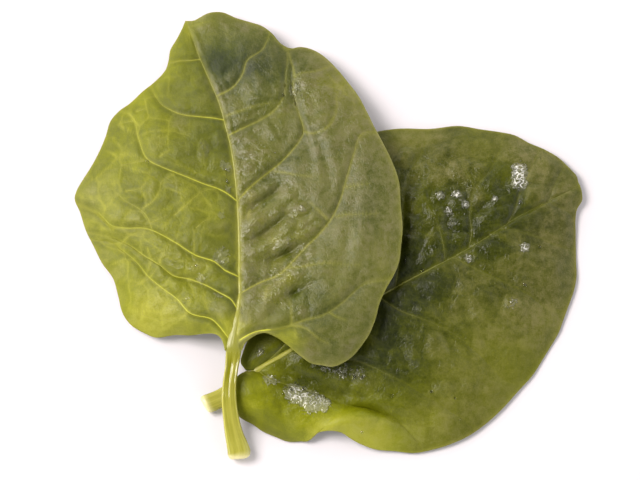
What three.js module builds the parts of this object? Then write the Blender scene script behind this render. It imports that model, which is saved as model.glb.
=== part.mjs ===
// A bunch of two loose Malabar spinach leaves laid flat, one lapping over the other.
// Millimetres, +Z up from the surface they lie on, +X across the pair, +Y towards the tips.
// Each leaf is a heart-shaped blade with its stalk, and the stalk runs on under the blade
// as a midrib that thins out before the tip.
import * as THREE from "three";

const BLADE_THICKNESS = 0.9; // the fleshy blade
const CLEARANCE = 0.3; // between a blade and the midrib under it
const MIDRIB_ROWS = 40; // rows of faces along a midrib
const LOBE_ROWS = 7; // rows of faces in the lobe beside the stalk
const COLUMNS = 18; // faces from midrib to margin
const PUFF = 1.1; // how far a panel of the blade swells between two veins
const FULL_PUFF_WIDTH = 16; // a panel narrower than this swells less
const PUFF_LENGTH = 15; // the smaller swellings along a panel, between its cross veins
const QUILT = 0.28; // their share of the panel's own swelling
const VEIN_DEPTH = 0.45; // how far a side vein stands out under the blade
const RIB_END = 0.92; // the midrib dies out here, as a share of its length
const RIB_STATIONS = 15;
const RIB_WIDTH = [3.3, 0.8]; // at the stalk and at its end
const RIB_HEIGHT = [2.6, 0.6];
const STALK_SIDES = 20; // points round a stalk

// The upper leaf. Its blade is raised where the lower leaf lies under it, and its left edge
// comes down to the surface.
const UPPER_MIDRIB = [
  [-28.2, -35.8, 11], [-26.4, -22.2, 10.2], [-26.4, -13, 9.6], [-26.6, -3.6, 9], [-27, 5.6, 8.4],
  [-27.8, 15, 7.8], [-29, 23.8, 7.2], [-30.8, 31.4, 6.6], [-32.8, 38.8, 6], [-35.8, 46.2, 5.4],
  [-38.6, 52.8, 4.8], [-41.2, 59.6, 4.4], [-43.5, 65.5, 4.6],
];
const UPPER_LEFT_MARGIN = [
  [-30.6, -37.4, 10.5], [-31, -35.4, 10.8], [-31.8, -33.6, 10.8], [-33.6, -32.3, 10.2],
  [-37, -31.9, 8.4], [-41, -32, 6.2], [-45.5, -31.5, 4.2], [-51.5, -32, 2.6], [-55, -30.5, 1.8], [-59, -28, 1.3], [-61.5, -24.5, 1],
  [-63, -19, 1.2], [-64.5, -14, 1.6], [-68, -9, 1.2], [-70.5, -4, 0.9], [-73, 1, 0.45],
  [-75, 7, 0.45], [-76.5, 10.5, 1.2], [-76, 13, 1.6], [-74, 16.5, 2.2], [-71.5, 20.5, 2.5],
  [-69.5, 24.5, 2.4], [-67.5, 29.5, 2.2], [-66, 34.5, 2.4], [-63.5, 37.5, 2.8], [-60, 40, 3.2],
  [-56.5, 43.5, 3], [-52.5, 47, 2.6], [-49.5, 50.5, 2.6], [-48.5, 53.5, 3], [-48, 56.5, 3.6],
  [-46, 60, 4], [-44.5, 63, 4.3], [-43.5, 65.5, 4.6],
];
const UPPER_RIGHT_MARGIN = [
  [-25.6, -37.4, 10.5], [-25, -35.6, 10.9], [-23.8, -34.3, 11.2], [-22.3, -33.3, 11.3],
  [-20.8, -32.5, 11.2],
  [-18.5, -32, 10.9], [-16, -33, 10.8], [-13.5, -34.5, 10.5], [-11, -36.5, 10.1], [-8, -39, 9.7],
  [-5, -41, 9.4], [-2, -41.5, 9.3], [1, -42, 9.3], [4, -41, 9.6], [7, -39, 10], [10, -35.5, 10.4],
  [12, -32.5, 10.8], [14, -27.5, 11.2], [15, -23.5, 11.4], [17, -19, 11.6], [19.5, -14.5, 11.8],
  [21, -10.5, 12], [21.5, -6, 12], [22, -1, 11.8], [21.5, 6.5, 11.4], [21, 14, 11], [19, 20, 10.6],
  [16.5, 25.5, 10.2], [13.5, 31.5, 9.6], [11.5, 36, 8.8], [9, 41, 8], [5.5, 46, 7.2],
  [2, 50.5, 6.4], [-2, 54.5, 5.6], [-5.5, 56.5, 5.2], [-8.5, 57, 5.4], [-11.5, 56.5, 5.8],
  [-14.5, 58, 6], [-17, 61, 5.8], [-20, 63.5, 5.4], [-24, 65, 5], [-28.5, 66.5, 4.8], [-32, 68, 5],
  [-35, 68, 5.4], [-37, 67.5, 5.4], [-39, 66.5, 5], [-41, 65.5, 4.8], [-43.5, 65.5, 4.6],
];

// The lower leaf. It lies on the surface along its far and right edges, and the margin
// nearest the viewer lifts once into a low arch.
const LOWER_MIDRIB = [
  [-21.2, -42.2, 4.6], [-16.8, -39.8, 4.7], [-10.8, -36.2, 4.8], [-2.4, -31.2, 5],
  [6.4, -25.8, 5.2], [18.4, -18.4, 5.4], [29, -12.6, 5.2], [38, -7.8, 5], [47, -2.4, 4.8],
  [56.2, 3.8, 4.4], [65.2, 8.8, 3.8], [71.4, 12, 3.2], [76, 14.5, 2.4],
];
const LOWER_FAR_MARGIN = [
  [-24.6, -42.2, 5.1], [-26, -40, 5.2], [-25.4, -37.2, 5.2], [-24.6, -35, 5.1],
  [-23.4, -32, 4.9], [-22, -26.5, 4.4], [-21.5, -18.5, 3.6], [-21.5, -11, 3], [-20, -3.5, 2.6], [-17, 4, 2.4],
  [-12.5, 11.5, 2.2], [-6.5, 18.5, 2], [0.5, 25, 1.8], [8, 29, 1.6], [15, 31.5, 1.4],
  [22, 32.5, 1.2], [31, 32.5, 0.8], [39.5, 33.5, 0.45], [46, 32.5, 0.45], [52, 31.5, 0.9],
  [56.5, 30.5, 0.9], [61, 28, 1], [65.5, 26, 1.2], [69.5, 23.5, 1.4], [73, 20, 1.8],
  [75, 17.5, 2.1], [75.5, 15.5, 2.3], [76, 14.5, 2.4],
];
const LOWER_NEAR_MARGIN = [
  [-23.5, -43.5, 5.2], [-24.5, -43, 5.6], [-26.5, -44, 5.8], [-28, -46, 5.8], [-29, -49, 5.4],
  [-29, -52, 4.6], [-28, -54.5, 3], [-25.5, -56.5, 2], [-22.5, -58, 1.2], [-19.5, -60, 0.7],
  [-16, -61.5, 0.5], [-12, -63, 0.45], [-8.5, -63, 0.6], [-6, -63, 1.6], [-3.5, -61, 3.4],
  [-1, -60.5, 4.8], [1.5, -60.5, 5.2], [4, -61, 4.6], [6.5, -62.5, 3.4], [9.5, -64, 2.2],
  [14, -65.5, 1.4], [20, -66, 1], [25.5, -66.5, 0.9], [31, -65.5, 1], [36, -64, 1.2],
  [41.5, -61.5, 1.2], [46.5, -58, 1], [51.5, -53.5, 0.9], [56.5, -48, 0.8], [61, -43, 0.6],
  [64.5, -37.5, 0.45], [67, -33.5, 0.45], [69, -30, 0.6], [70.5, -26, 0.7], [72, -22, 0.8],
  [73.5, -18, 0.8], [74.5, -13.5, 0.7], [74.5, -8.5, 0.45], [74.5, -4.5, 0.45], [74.5, 0.5, 0.8],
  [74.5, 4.5, 1.2], [75, 7.5, 1.6], [76.5, 10, 2], [76.5, 12.5, 2.2], [76, 14.5, 2.4],
];

// Side veins in plan, from the midrib to the margin, base of the leaf first. The first one
// leaves from the start of the midrib. The arch is how far a vein's middle stands above a
// straight line between its two ends.
const UPPER_LEFT_VEINS = [
  { arch: 1.8, path: [
    [-28.2, -35.8], [-30.5, -32.5], [-34.5, -28], [-41, -26], [-45, -21.5], [-49.5, -18],
    [-53.5, -14.5], [-57.5, -9.5], [-62, -5.5], [-65, -3], [-71.5, -2],
  ] },
  { arch: 2.8, path: [
    [-26.5, -24.5], [-29, -22], [-33, -19.5], [-36.5, -17.5], [-41.5, -15.5], [-46, -14.5],
    [-50.5, -11], [-55, -8], [-59.5, -4.5], [-65.5, -1.5], [-72.5, 0.5],
  ] },
  { arch: 3.6, path: [
    [-26.5, -16], [-31, -13], [-34, -10.5], [-39.5, -8.5], [-45, -5], [-50, -2], [-54.5, 0],
    [-61, 0.5], [-65, 1.5], [-69.5, 6], [-75.5, 9.5],
  ] },
  { arch: 3.2, path: [
    [-27.5, 9], [-32, 11.5], [-37.5, 13.5], [-43.5, 16], [-49.5, 18.5], [-54.5, 21.5],
    [-57, 27.5], [-59, 35], [-63, 37.5],
  ] },
  { arch: 1.8, path: [
    [-32, 34], [-35.5, 34.5], [-40.5, 35], [-44, 35.5], [-47.5, 37], [-50.5, 39], [-52, 41],
    [-54, 45.5],
  ] },
  { arch: 0.2, path: [
    [-39, 53], [-42, 53], [-45, 53], [-48.5, 52.5],
  ] },
];
const UPPER_RIGHT_VEINS = [
  { arch: 0.5, path: [
    [-28.2, -35.8], [-24.5, -33.4], [-21, -32], [-14.5, -31], [-11, -30], [-7, -28.5],
    [-2.5, -27.5], [2.5, -24.5], [6.5, -21], [10, -18], [18.5, -16],
  ] },
  { arch: 0.8, path: [
    [-25.5, -21], [-20.5, -17], [-14.5, -14.5], [-10.5, -10.5], [-6.5, -6], [-2.5, -2],
    [1, 2.5], [3.5, 8], [5.5, 15], [7.5, 22], [10, 28.5], [14.5, 29.5],
  ] },
  { arch: 1.0, path: [
    [-27, 8], [-23.5, 12.5], [-19, 16.5], [-14, 20.5], [-9, 26.5], [-7.5, 30], [-9, 36],
    [-10.5, 42.5], [-9.5, 47.5], [-3.5, 49], [1.5, 51],
  ] },
  { arch: 0.8, path: [
    [-29.5, 28.5], [-25, 31.5], [-20, 34], [-16, 37], [-13.5, 41.5], [-13, 47], [-12.5, 52],
    [-12, 57],
  ] },
  { arch: 0.8, path: [
    [-33, 40.5], [-29, 44], [-26, 48], [-24.5, 52.5], [-20, 56], [-17.5, 61.5],
  ] },
];
const LOWER_FAR_VEINS = [
  { arch: 1.2, path: [
    [-21.2, -42.2], [-17, -38.5], [-13, -34.5], [-11.5, -27], [-11, -18], [-9.5, -9.5], [-8.5, -1],
    [-6.5, 8.5], [-8.5, 16.5],
  ] },
  { arch: 2.0, path: [
    [0.5, -29.5], [0.5, -21], [2, -12], [5, -3], [8, 6.5], [11, 16], [13, 25.5], [15, 31.5],
  ] },
  { arch: 2.2, path: [
    [19, -18], [21, -10.5], [22, -3], [22.5, 5], [23, 12.5], [24.5, 18.5], [28, 24], [30.5, 32.5],
  ] },
  { arch: 2.0, path: [
    [43, -4.5], [43, -0.5], [42.5, 5], [44, 12.5], [48.5, 18.5], [52, 25.5], [53, 31.5],
  ] },
  { arch: 1.4, path: [
    [54.5, 2.5], [56, 6.5], [58, 12.5], [60.5, 18.5], [62.5, 22.5], [64, 26],
  ] },
  { arch: 0.7, path: [
    [65.5, 9], [67.5, 13], [70, 18], [72, 21],
  ] },
];
const LOWER_NEAR_VEINS = [
  { arch: 0.6, path: [
    [-21.2, -42.2], [-18, -44.5], [-13, -46.5], [-7, -48], [-1, -50], [5, -52.5], [11, -53.5],
    [17, -55.5], [21.5, -58], [28.5, -66],
  ] },
  { arch: 1.6, path: [
    [-8.5, -35], [0.5, -38.5], [9.5, -40], [18.5, -44], [27, -48.5], [36, -54], [44.5, -59.5],
  ] },
  { arch: 1.8, path: [
    [15.5, -20.5], [21.5, -24.5], [30.5, -28], [39, -32.5], [46.5, -39], [52.5, -45], [58.5, -46],
  ] },
  { arch: 1.4, path: [
    [36.5, -8.5], [40, -9.5], [45.5, -12.5], [53, -16], [60.5, -19.5], [66, -23.5], [71.5, -24],
  ] },
  { arch: 1.0, path: [
    [51.5, 0.5], [57.5, 0], [63.5, -2], [69, -4], [74.5, -5.5],
  ] },
  { arch: 0.4, path: [
    [65.5, 9], [69, 8], [72.5, 6], [74.5, 4],
  ] },
];

// Creases where a blade sinks between its veins: x, y, half length, half width, the angle it
// runs at in degrees, and its depth. A negative depth is a bulge.
const UPPER_CREASES = [
  [-20, 8, 6, 2.2, 30, 1], [-15.5, 0, 6.5, 2.2, 32, 1.1], [-13.5, -9, 8, 2.4, 28, 1.3],
  [-9.5, -20.5, 7, 2.6, 26, 1.1], [-22, -3.5, 4, 2, 45, 0.7], [-18, 15, 5, 2, 40, 0.7],
  [-10.5, 42.5, 2.4, 6, 8, 1], [-38.5, -18, 9, 2, -28, 0.8], [-41, -9, 8, 2, -30, 0.6],
  [-36, 25, 7, 2.6, -10, 0.6], [-4, -31, 9, 3.2, 35, -0.8], [2, -24, 8, 2.2, 38, 0.7],
];
const LOWER_CREASES = [
  [46, 6, 4.5, 2.4, 60, 0.9], [36, 2, 5.5, 2.4, 100, 0.9], [28, -20, 7, 2.4, -30, 0.9],
  [40, -24, 7, 2.6, -28, 0.8], [20, -34, 7, 2.6, -20, 0.8], [52, 14, 5, 2.2, 110, 0.8],
  [60, -4, 6, 2, -20, 0.6], [-4, -46, 13, 2.2, -22, 1.6], [8, -44, 7, 2.2, -24, 1.1],
  [10, -51, 7, 2.2, -30, 0.6], [26, 16, 7, 2.2, 80, 0.8],
];

// How far the lobe beside the stalk swells, on each side of each leaf.
const UPPER_LOBES = [1.2, 0.9];
const LOWER_LOBES = [0.9, 3.0];

// The stalks from their cut end: x, y, z of the centre, width, height, depth of the channel.
const UPPER_STALK = [
  [-26.6, -68.5, 2.2, 6, 3.6, 0.2], [-26.5, -66.6, 2.7, 6.9, 4.2, 0.4],
  [-27.1, -64.3, 3.4, 6.3, 4.4, 0.6], [-27.8, -62, 4.2, 5.6, 4.3, 0.7],
  [-28.8, -57.1, 6.1, 4.8, 4, 0.7], [-29.4, -51.6, 7.8, 4.5, 3.7, 0.7],
  [-29.2, -46.4, 8.5, 4.1, 3.5, 0.7], [-28.7, -42.6, 8.7, 4, 3.3, 0.7],
  [-28.3, -39.4, 8.8, 4.3, 3, 0.6], [-28.1, -37.6, 8.8, 4.4, 2.8, 0.4],
];
const LOWER_STALK = [
  [-37, -52.4, 2, 5.8, 4.3, 0.4], [-34.4, -51.4, 2, 5.7, 4.3, 0.5],
  [-31.6, -50, 2, 5.4, 4.2, 0.5], [-26.4, -46, 2.1, 4.6, 3.9, 0.4],
  [-23.4, -43.8, 2.3, 4.2, 3.3, 0.2],
];
const CUT_SLANT = 0.15; // how far the cut end of a stalk leans, per mm of its width

const clamp01 = (x) => Math.min(1, Math.max(0, x));
const fade = (from, to, x) => {
  const t = clamp01((x - from) / (to - from));
  return t * t * (3 - 2 * t);
};

// A smooth line through points, asked for by share of its length.
function lineThrough(points) {
  const corners = points.map(([x, y, z = 0]) => new THREE.Vector3(x, y, z));
  const line = new THREE.CatmullRomCurve3(corners, false, "centripetal");
  line.arcLengthDivisions = 500;
  return line;
}

// The share of a line's length at which it passes nearest to a place in plan.
function shareNear(line, [x, y]) {
  const steps = 1500;
  let best = 0;
  let least = Infinity;
  line.getSpacedPoints(steps).forEach((p, i) => {
    const away = Math.hypot(p.x - x, p.y - y);
    if (away < least) {
      least = away;
      best = i / steps;
    }
  });
  return best;
}

// A side vein as rows want it: the midrib row it leaves from, where it meets the margin,
// and its place at any share of its length.
function veinBetween(midrib, margin, { arch, path }) {
  const row = Math.round(MIDRIB_ROWS * shareNear(midrib, path[0]));
  const edge = shareNear(margin, path.at(-1));
  const from = midrib.getPointAt(row / MIDRIB_ROWS);
  const to = margin.getPointAt(edge);
  const plan = lineThrough([[from.x, from.y], ...path.slice(1, -1), [to.x, to.y]]);
  const at = (v) => {
    const p = plan.getPointAt(v);
    p.z = from.z + (to.z - from.z) * v + arch * 4 * v * (1 - v);
    return p;
  };
  return { row, edge, at };
}

const blend = (a, b, t) => a.clone().lerp(b, t);

// The swelling of a panel between two veins, u across it and v from midrib to margin. The
// panel that closes at the tip flattens out towards it.
function swelling(u, v, { width, reach, number, closing }) {
  const across = Math.sin(Math.PI * u) ** 0.8 * (closing ? (1 - u) ** 1.5 : 1);
  const along = fade(0, 0.16, v) * (1 - fade(0.78, 1, v));
  const wave = Math.cos(2 * Math.PI * ((reach / PUFF_LENGTH) * v + 0.37 * number));
  const quilt = 0.85 + QUILT * wave * Math.cos(2 * Math.PI * (u + 0.15 * number));
  return PUFF * Math.min(1, width / FULL_PUFF_WIDTH) * across * along * quilt;
}

// One half of a blade, as rows of places that each run from the midrib to the margin.
function halfBlade(midrib, marginPoints, veinList, lobe) {
  const margin = lineThrough(marginPoints);
  const veins = veinList.map((vein) => veinBetween(midrib, margin, vein));
  const apex = margin.getPointAt(1);
  veins.push({ row: MIDRIB_ROWS, edge: 1, at: () => apex.clone() });
  const rows = [];
  // The lobe lies between the margin and the first vein, which meet at the vein's end.
  for (let r = 0; r < LOBE_ROWS; r++) {
    const u = r / LOBE_ROWS;
    const row = [];
    for (let c = 0; c <= COLUMNS; c++) {
      const v = c / COLUMNS;
      const p = blend(margin.getPointAt(veins[0].edge * v), veins[0].at(v), u);
      p.z += lobe * Math.sin(Math.PI * u) * fade(0, 0.25, v) * (1 - fade(0.6, 1, v));
      row.push({ p, vein: 0, joint: c === COLUMNS });
    }
    rows.push(row);
  }
  for (let i = 0; i + 1 < veins.length; i++) {
    const [a, b] = [veins[i], veins[i + 1]];
    const closing = i + 2 === veins.length;
    const reach = a.at(0).distanceTo(a.at(1));
    for (let r = a.row; r < (closing ? b.row + 1 : b.row); r++) {
      const u = (r - a.row) / (b.row - a.row);
      const row = [];
      for (let c = 0; c <= COLUMNS; c++) {
        const v = c / COLUMNS;
        const along = blend(a.at(v), b.at(v), u);
        const across = blend(
          midrib.getPointAt(r / MIDRIB_ROWS),
          margin.getPointAt(a.edge + (b.edge - a.edge) * u),
          v,
        );
        const corners = blend(blend(a.at(0), b.at(0), u), blend(a.at(1), b.at(1), u), v);
        const p = along.add(across).sub(corners);
        const width = a.at(v).distanceTo(b.at(v));
        p.z += swelling(u, v, { width, reach, number: i, closing });
        const strength = fade(0, 0.14, v) * (1 - fade(0.5, 0.95, v));
        row.push({ p, vein: u === 0 ? strength : 0 });
      }
      rows.push(row);
    }
  }
  return rows;
}

// The rise of all creases at one place in plan, fading out towards the margin.
function creased(creases, { x, y }) {
  return creases.reduce((sum, [cx, cy, length, width, angle, depth]) => {
    const turn = (angle * Math.PI) / 180;
    const along = ((x - cx) * Math.cos(turn) + (y - cy) * Math.sin(turn)) / length;
    const across = ((y - cy) * Math.cos(turn) - (x - cx) * Math.sin(turn)) / width;
    return sum - depth * Math.exp(-along * along - across * across);
  }, 0);
}

// Both halves joined along the midrib, and the sheet's triangles, turned face up.
function sheet(left, right, creases) {
  const places = [];
  const ridges = [];
  const triangles = [];
  const add = (p, ridge) => {
    places.push(p);
    ridges.push(ridge);
    return places.length - 1;
  };
  const last = left.length - 1;
  for (const rows of [left, right]) {
    for (const row of rows) {
      row.forEach(({ p }, c) => {
        const v = c / COLUMNS;
        p.z += creased(creases, p) * fade(0, 0.12, v) * (1 - fade(0.85, 1, v));
      });
    }
  }
  const apex = add(left[last][0].p, 0);
  const spine = left.map((row, r) => (r >= LOBE_ROWS && r < last ? add(row[0].p, 0) : -1));
  for (const [rows, turned] of [[left, false], [right, true]]) {
    const lobeEnd = add(rows[LOBE_ROWS][COLUMNS].p, 0);
    const grid = rows.map((row, r) =>
      row.map(({ p, vein }, c) => {
        if (r === last) return apex;
        if (c === 0 && r >= LOBE_ROWS) return spine[r];
        if (c === COLUMNS && r <= LOBE_ROWS) return lobeEnd;
        return add(p, vein);
      }),
    );
    for (let r = 0; r < last; r++) {
      for (let c = 0; c < COLUMNS; c++) {
        const [a, b, d, e] = [grid[r][c], grid[r + 1][c], grid[r + 1][c + 1], grid[r][c + 1]];
        const short = places[a].distanceTo(places[d]) < places[b].distanceTo(places[e]);
        const pair = short ? [[a, b, d], [a, d, e]] : [[a, b, e], [b, d, e]];
        for (const t of pair) {
          if (new Set(t).size < 3) continue;
          triangles.push(turned ? [t[0], t[2], t[1]] : t);
        }
      }
    }
  }
  return { places, ridges, triangles };
}

// A closed body from a sheet: an upper face, the same face below it, and walls round the edge.
function thicken({ places, ridges, triangles }) {
  const normals = places.map(() => new THREE.Vector3());
  for (const [a, b, c] of triangles) {
    const side = places[b].clone().sub(places[a]);
    const n = side.cross(places[c].clone().sub(places[a]));
    for (const i of [a, b, c]) normals[i].add(n);
  }
  const top = places.map((p, i) => p.clone().addScaledVector(
    normals[i].normalize(), BLADE_THICKNESS / 2));
  const bottom = places.map((p, i) => p.clone().addScaledVector(
    normals[i], -BLADE_THICKNESS / 2 - VEIN_DEPTH * ridges[i]));
  const points = [...top, ...bottom];
  const n = places.length;
  const faces = [];
  const edges = new Set();
  for (const [a, b, c] of triangles) {
    faces.push([a, b, c], [c + n, b + n, a + n]);
    edges.add(`${a},${b}`).add(`${b},${c}`).add(`${c},${a}`);
  }
  for (const edge of edges) {
    const [a, b] = edge.split(",").map(Number);
    if (edges.has(`${b},${a}`)) continue;
    faces.push([b, a, a + n], [b, a + n, b + n]);
  }
  return bodyOf(points, faces);
}

function bodyOf(points, faces) {
  const geometry = new THREE.BufferGeometry();
  const flat = points.flatMap((p) => [p.x, p.y, p.z]);
  geometry.setAttribute("position", new THREE.Float32BufferAttribute(flat, 3));
  geometry.setIndex(faces.flat());
  geometry.computeVertexNormals();
  return geometry;
}

// The stations of a whole stalk: its free length, then the midrib tucked under the blade.
function stalkStations(free, midrib) {
  const stations = free.map(([x, y, z, wide, tall, channel]) => (
    { at: new THREE.Vector3(x, y, z), wide, tall, channel }));
  for (let i = 0; i < RIB_STATIONS; i++) {
    const s = (RIB_END * i) / (RIB_STATIONS - 1);
    const wide = RIB_WIDTH[0] + (RIB_WIDTH[1] - RIB_WIDTH[0]) * (s / RIB_END);
    const tall = RIB_HEIGHT[0] + (RIB_HEIGHT[1] - RIB_HEIGHT[0]) * (s / RIB_END) ** 0.8;
    const at = midrib.getPointAt(s);
    at.z -= BLADE_THICKNESS / 2 + CLEARANCE + tall / 2;
    stations.push({ at, wide, tall, channel: 0 });
  }
  return stations;
}

// A stalk swept through its stations: oval, channelled above, flattened where it lies down.
function stalk(stations) {
  const up = new THREE.Vector3(0, 0, 1);
  const points = [];
  const faces = [];
  stations.forEach(({ at, wide, tall, channel }, i) => {
    const before = stations[Math.max(0, i - 1)].at;
    const after = stations[Math.min(stations.length - 1, i + 1)].at;
    const ahead = after.clone().sub(before).normalize();
    const side = ahead.clone().cross(up).normalize();
    const lift = side.clone().cross(ahead);
    for (let k = 0; k < STALK_SIDES; k++) {
      const angle = (2 * Math.PI * (k + 0.5)) / STALK_SIDES;
      const x = (wide / 2) * Math.cos(angle);
      const dip = Math.sin(angle) > 0 ? channel * clamp01(1 - ((2.2 * x) / wide) ** 2) : 0;
      const p = at.clone().addScaledVector(side, x);
      p.addScaledVector(lift, (tall / 2) * Math.sin(angle) - dip);
      if (i === 0) p.addScaledVector(ahead, CUT_SLANT * x);
      p.z = Math.max(0, p.z);
      points.push(p);
    }
  });
  for (let i = 0; i + 1 < stations.length; i++) {
    for (let k = 0; k < STALK_SIDES; k++) {
      const [a, b] = [i * STALK_SIDES + k, i * STALK_SIDES + ((k + 1) % STALK_SIDES)];
      faces.push([a, b + STALK_SIDES, b], [a, a + STALK_SIDES, b + STALK_SIDES]);
    }
  }
  const end = (stations.length - 1) * STALK_SIDES;
  points.push(middleOf(points.slice(0, STALK_SIDES)), stations.at(-1).at.clone());
  for (let k = 0; k < STALK_SIDES; k++) {
    const next = (k + 1) % STALK_SIDES;
    faces.push([points.length - 2, k, next], [points.length - 1, end + next, end + k]);
  }
  return bodyOf(points, faces);
}

function middleOf(points) {
  const sum = points.reduce((a, p) => a.add(p), new THREE.Vector3());
  return sum.divideScalar(points.length);
}

const upperMidrib = lineThrough(UPPER_MIDRIB);
const lowerMidrib = lineThrough(LOWER_MIDRIB);
const upperBlade = thicken(sheet(
  halfBlade(upperMidrib, UPPER_LEFT_MARGIN, UPPER_LEFT_VEINS, UPPER_LOBES[0]),
  halfBlade(upperMidrib, UPPER_RIGHT_MARGIN, UPPER_RIGHT_VEINS, UPPER_LOBES[1]),
  UPPER_CREASES,
));
const lowerBlade = thicken(sheet(
  halfBlade(lowerMidrib, LOWER_FAR_MARGIN, LOWER_FAR_VEINS, LOWER_LOBES[0]),
  halfBlade(lowerMidrib, LOWER_NEAR_MARGIN, LOWER_NEAR_VEINS, LOWER_LOBES[1]),
  LOWER_CREASES,
));

const group = new THREE.Group();
const addPiece = (name, geometry, color) => {
  const mesh = new THREE.Mesh(geometry, new THREE.MeshStandardMaterial({ color, roughness: 0.5 }));
  mesh.name = name;
  group.add(mesh);
};
addPiece("front_leaf_blade", upperBlade, 0x8a8a2e);
addPiece("front_leaf_stalk", stalk(stalkStations(UPPER_STALK, upperMidrib)), 0xbcb35c);
addPiece("back_leaf_blade", lowerBlade, 0x5c6122);
addPiece("back_leaf_stalk", stalk(stalkStations(LOWER_STALK, lowerMidrib)), 0xbcb35c);

export default group;
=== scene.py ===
# %% [markdown]
# # A bunch of two loose Malabar spinach leaves
# The real thing is two fleshy, heart-shaped leaves with pale stalks. They lie on a table, one
# lapping over the other. The CAD solids give their place, outline and lift. This lesson dresses
# them: finer blades with sunken veins and puckered skin, round stalks, raised vein lines and
# drops of water.

# %% Load the frame and keep its box
import math
from types import SimpleNamespace

import bmesh
import bpy
import numpy as np
from mathutils import Matrix, Vector, kdtree
from mathutils.bvhtree import BVHTree


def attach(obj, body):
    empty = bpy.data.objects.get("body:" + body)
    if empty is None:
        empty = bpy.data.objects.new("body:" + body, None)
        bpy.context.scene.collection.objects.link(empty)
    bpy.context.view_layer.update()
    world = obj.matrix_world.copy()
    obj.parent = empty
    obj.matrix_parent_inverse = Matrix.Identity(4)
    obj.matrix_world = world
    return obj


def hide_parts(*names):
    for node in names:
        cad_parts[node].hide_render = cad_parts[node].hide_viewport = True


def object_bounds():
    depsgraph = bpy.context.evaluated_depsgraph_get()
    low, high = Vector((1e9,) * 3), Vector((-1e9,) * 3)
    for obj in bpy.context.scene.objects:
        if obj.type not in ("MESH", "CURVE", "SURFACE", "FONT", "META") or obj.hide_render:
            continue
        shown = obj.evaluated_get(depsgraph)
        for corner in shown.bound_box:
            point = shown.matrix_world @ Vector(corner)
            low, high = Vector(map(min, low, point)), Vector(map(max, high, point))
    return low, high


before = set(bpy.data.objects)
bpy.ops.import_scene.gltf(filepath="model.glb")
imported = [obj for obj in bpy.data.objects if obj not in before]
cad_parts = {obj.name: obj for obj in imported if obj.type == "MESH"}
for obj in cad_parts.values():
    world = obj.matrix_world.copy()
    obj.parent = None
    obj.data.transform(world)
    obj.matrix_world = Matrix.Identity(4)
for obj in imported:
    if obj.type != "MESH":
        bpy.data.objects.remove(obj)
cad_box = [list(corner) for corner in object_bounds()]
MM = 0.001
print("CAD nodes:", sorted(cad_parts))

# %% [markdown]
# ## The leaves on paper
# A leaf is easiest to describe as lines: its midrib, its two margins and its side veins. They
# are in millimetres, in the same places as in the CAD model, so the finer blade keeps the form
# of the plain one. They could be read back from the CAD mesh, but there a vein is lost among
# other edges. Each line has few points, so that it is easy to change.

# %% Midrib and margins of the front leaf, as x, y and height
FRONT_MIDRIB = [
    (-28.2, -35.8, 11), (-26.4, -22.2, 10.2), (-26.4, -13, 9.6), (-26.6, -3.6, 9), (-27, 5.6, 8.4),
    (-27.8, 15, 7.8), (-29, 23.8, 7.2), (-30.8, 31.4, 6.6), (-32.8, 38.8, 6), (-35.8, 46.2, 5.4),
    (-38.6, 52.8, 4.8), (-41.2, 59.6, 4.4), (-43.5, 65.5, 4.6),
]
FRONT_LEFT_MARGIN = [
    (-30.6, -37.4, 10.5), (-31, -35.4, 10.8), (-31.8, -33.6, 10.8), (-33.6, -32.3, 10.2),
    (-37, -31.9, 8.4), (-41, -32, 6.2), (-45.5, -31.5, 4.2), (-51.5, -32, 2.6), (-55, -30.5, 1.8),
    (-59, -28, 1.3), (-61.5, -24.5, 1), (-63, -19, 1.2), (-64.5, -14, 1.6), (-68, -9, 1.2),
    (-70.5, -4, 0.9), (-73, 1, 0.45), (-75, 7, 0.45), (-76.5, 10.5, 1.2), (-76, 13, 1.6),
    (-74, 16.5, 2.2), (-71.5, 20.5, 2.5), (-69.5, 24.5, 2.4), (-67.5, 29.5, 2.2), (-66, 34.5, 2.4),
    (-63.5, 37.5, 2.8), (-60, 40, 3.2), (-56.5, 43.5, 3), (-52.5, 47, 2.6), (-49.5, 50.5, 2.6),
    (-48.5, 53.5, 3), (-48, 56.5, 3.6), (-46, 60, 4), (-44.5, 63, 4.3), (-43.5, 65.5, 4.6),
]
FRONT_RIGHT_MARGIN = [
    (-25.6, -37.4, 10.5), (-25, -35.6, 10.9), (-23.8, -34.3, 11.2), (-22.3, -33.3, 11.3),
    (-20.8, -32.5, 11.2), (-18.5, -32, 10.9), (-16, -33, 10.8), (-13.5, -34.5, 10.5),
    (-11, -36.5, 10.1), (-8, -39, 9.7), (-5, -41, 9.4), (-2, -41.5, 9.3), (1, -42, 9.3),
    (4, -41, 9.6), (7, -39, 10), (10, -35.5, 10.4), (12, -32.5, 10.8), (14, -27.5, 11.2),
    (15, -23.5, 11.4), (17, -19, 11.6), (19.5, -14.5, 11.8), (21, -10.5, 12), (21.5, -6, 12),
    (22, -1, 11.8), (21.5, 6.5, 11.4), (21, 14, 11), (19, 20, 10.6), (16.5, 25.5, 10.2),
    (13.5, 31.5, 9.6), (11.5, 36, 8.8), (9, 41, 8), (5.5, 46, 7.2), (2, 50.5, 6.4),
    (-2, 54.5, 5.6), (-5.5, 56.5, 5.2), (-8.5, 57, 5.4), (-11.5, 56.5, 5.8), (-14.5, 58, 6),
    (-17, 61, 5.8), (-20, 63.5, 5.4), (-24, 65, 5), (-28.5, 66.5, 4.8), (-32, 68, 5),
    (-35, 68, 5.4), (-37, 67.5, 5.4), (-39, 66.5, 5), (-41, 65.5, 4.8), (-43.5, 65.5, 4.6),
]
print(len(FRONT_LEFT_MARGIN + FRONT_RIGHT_MARGIN), "points round the front leaf")

# %% [markdown]
# The back leaf lies lower, half under the front one. Its near margin lifts once into a low
# arch, about a quarter of the way from the stalk to the tip, and the heights there say so.

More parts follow.
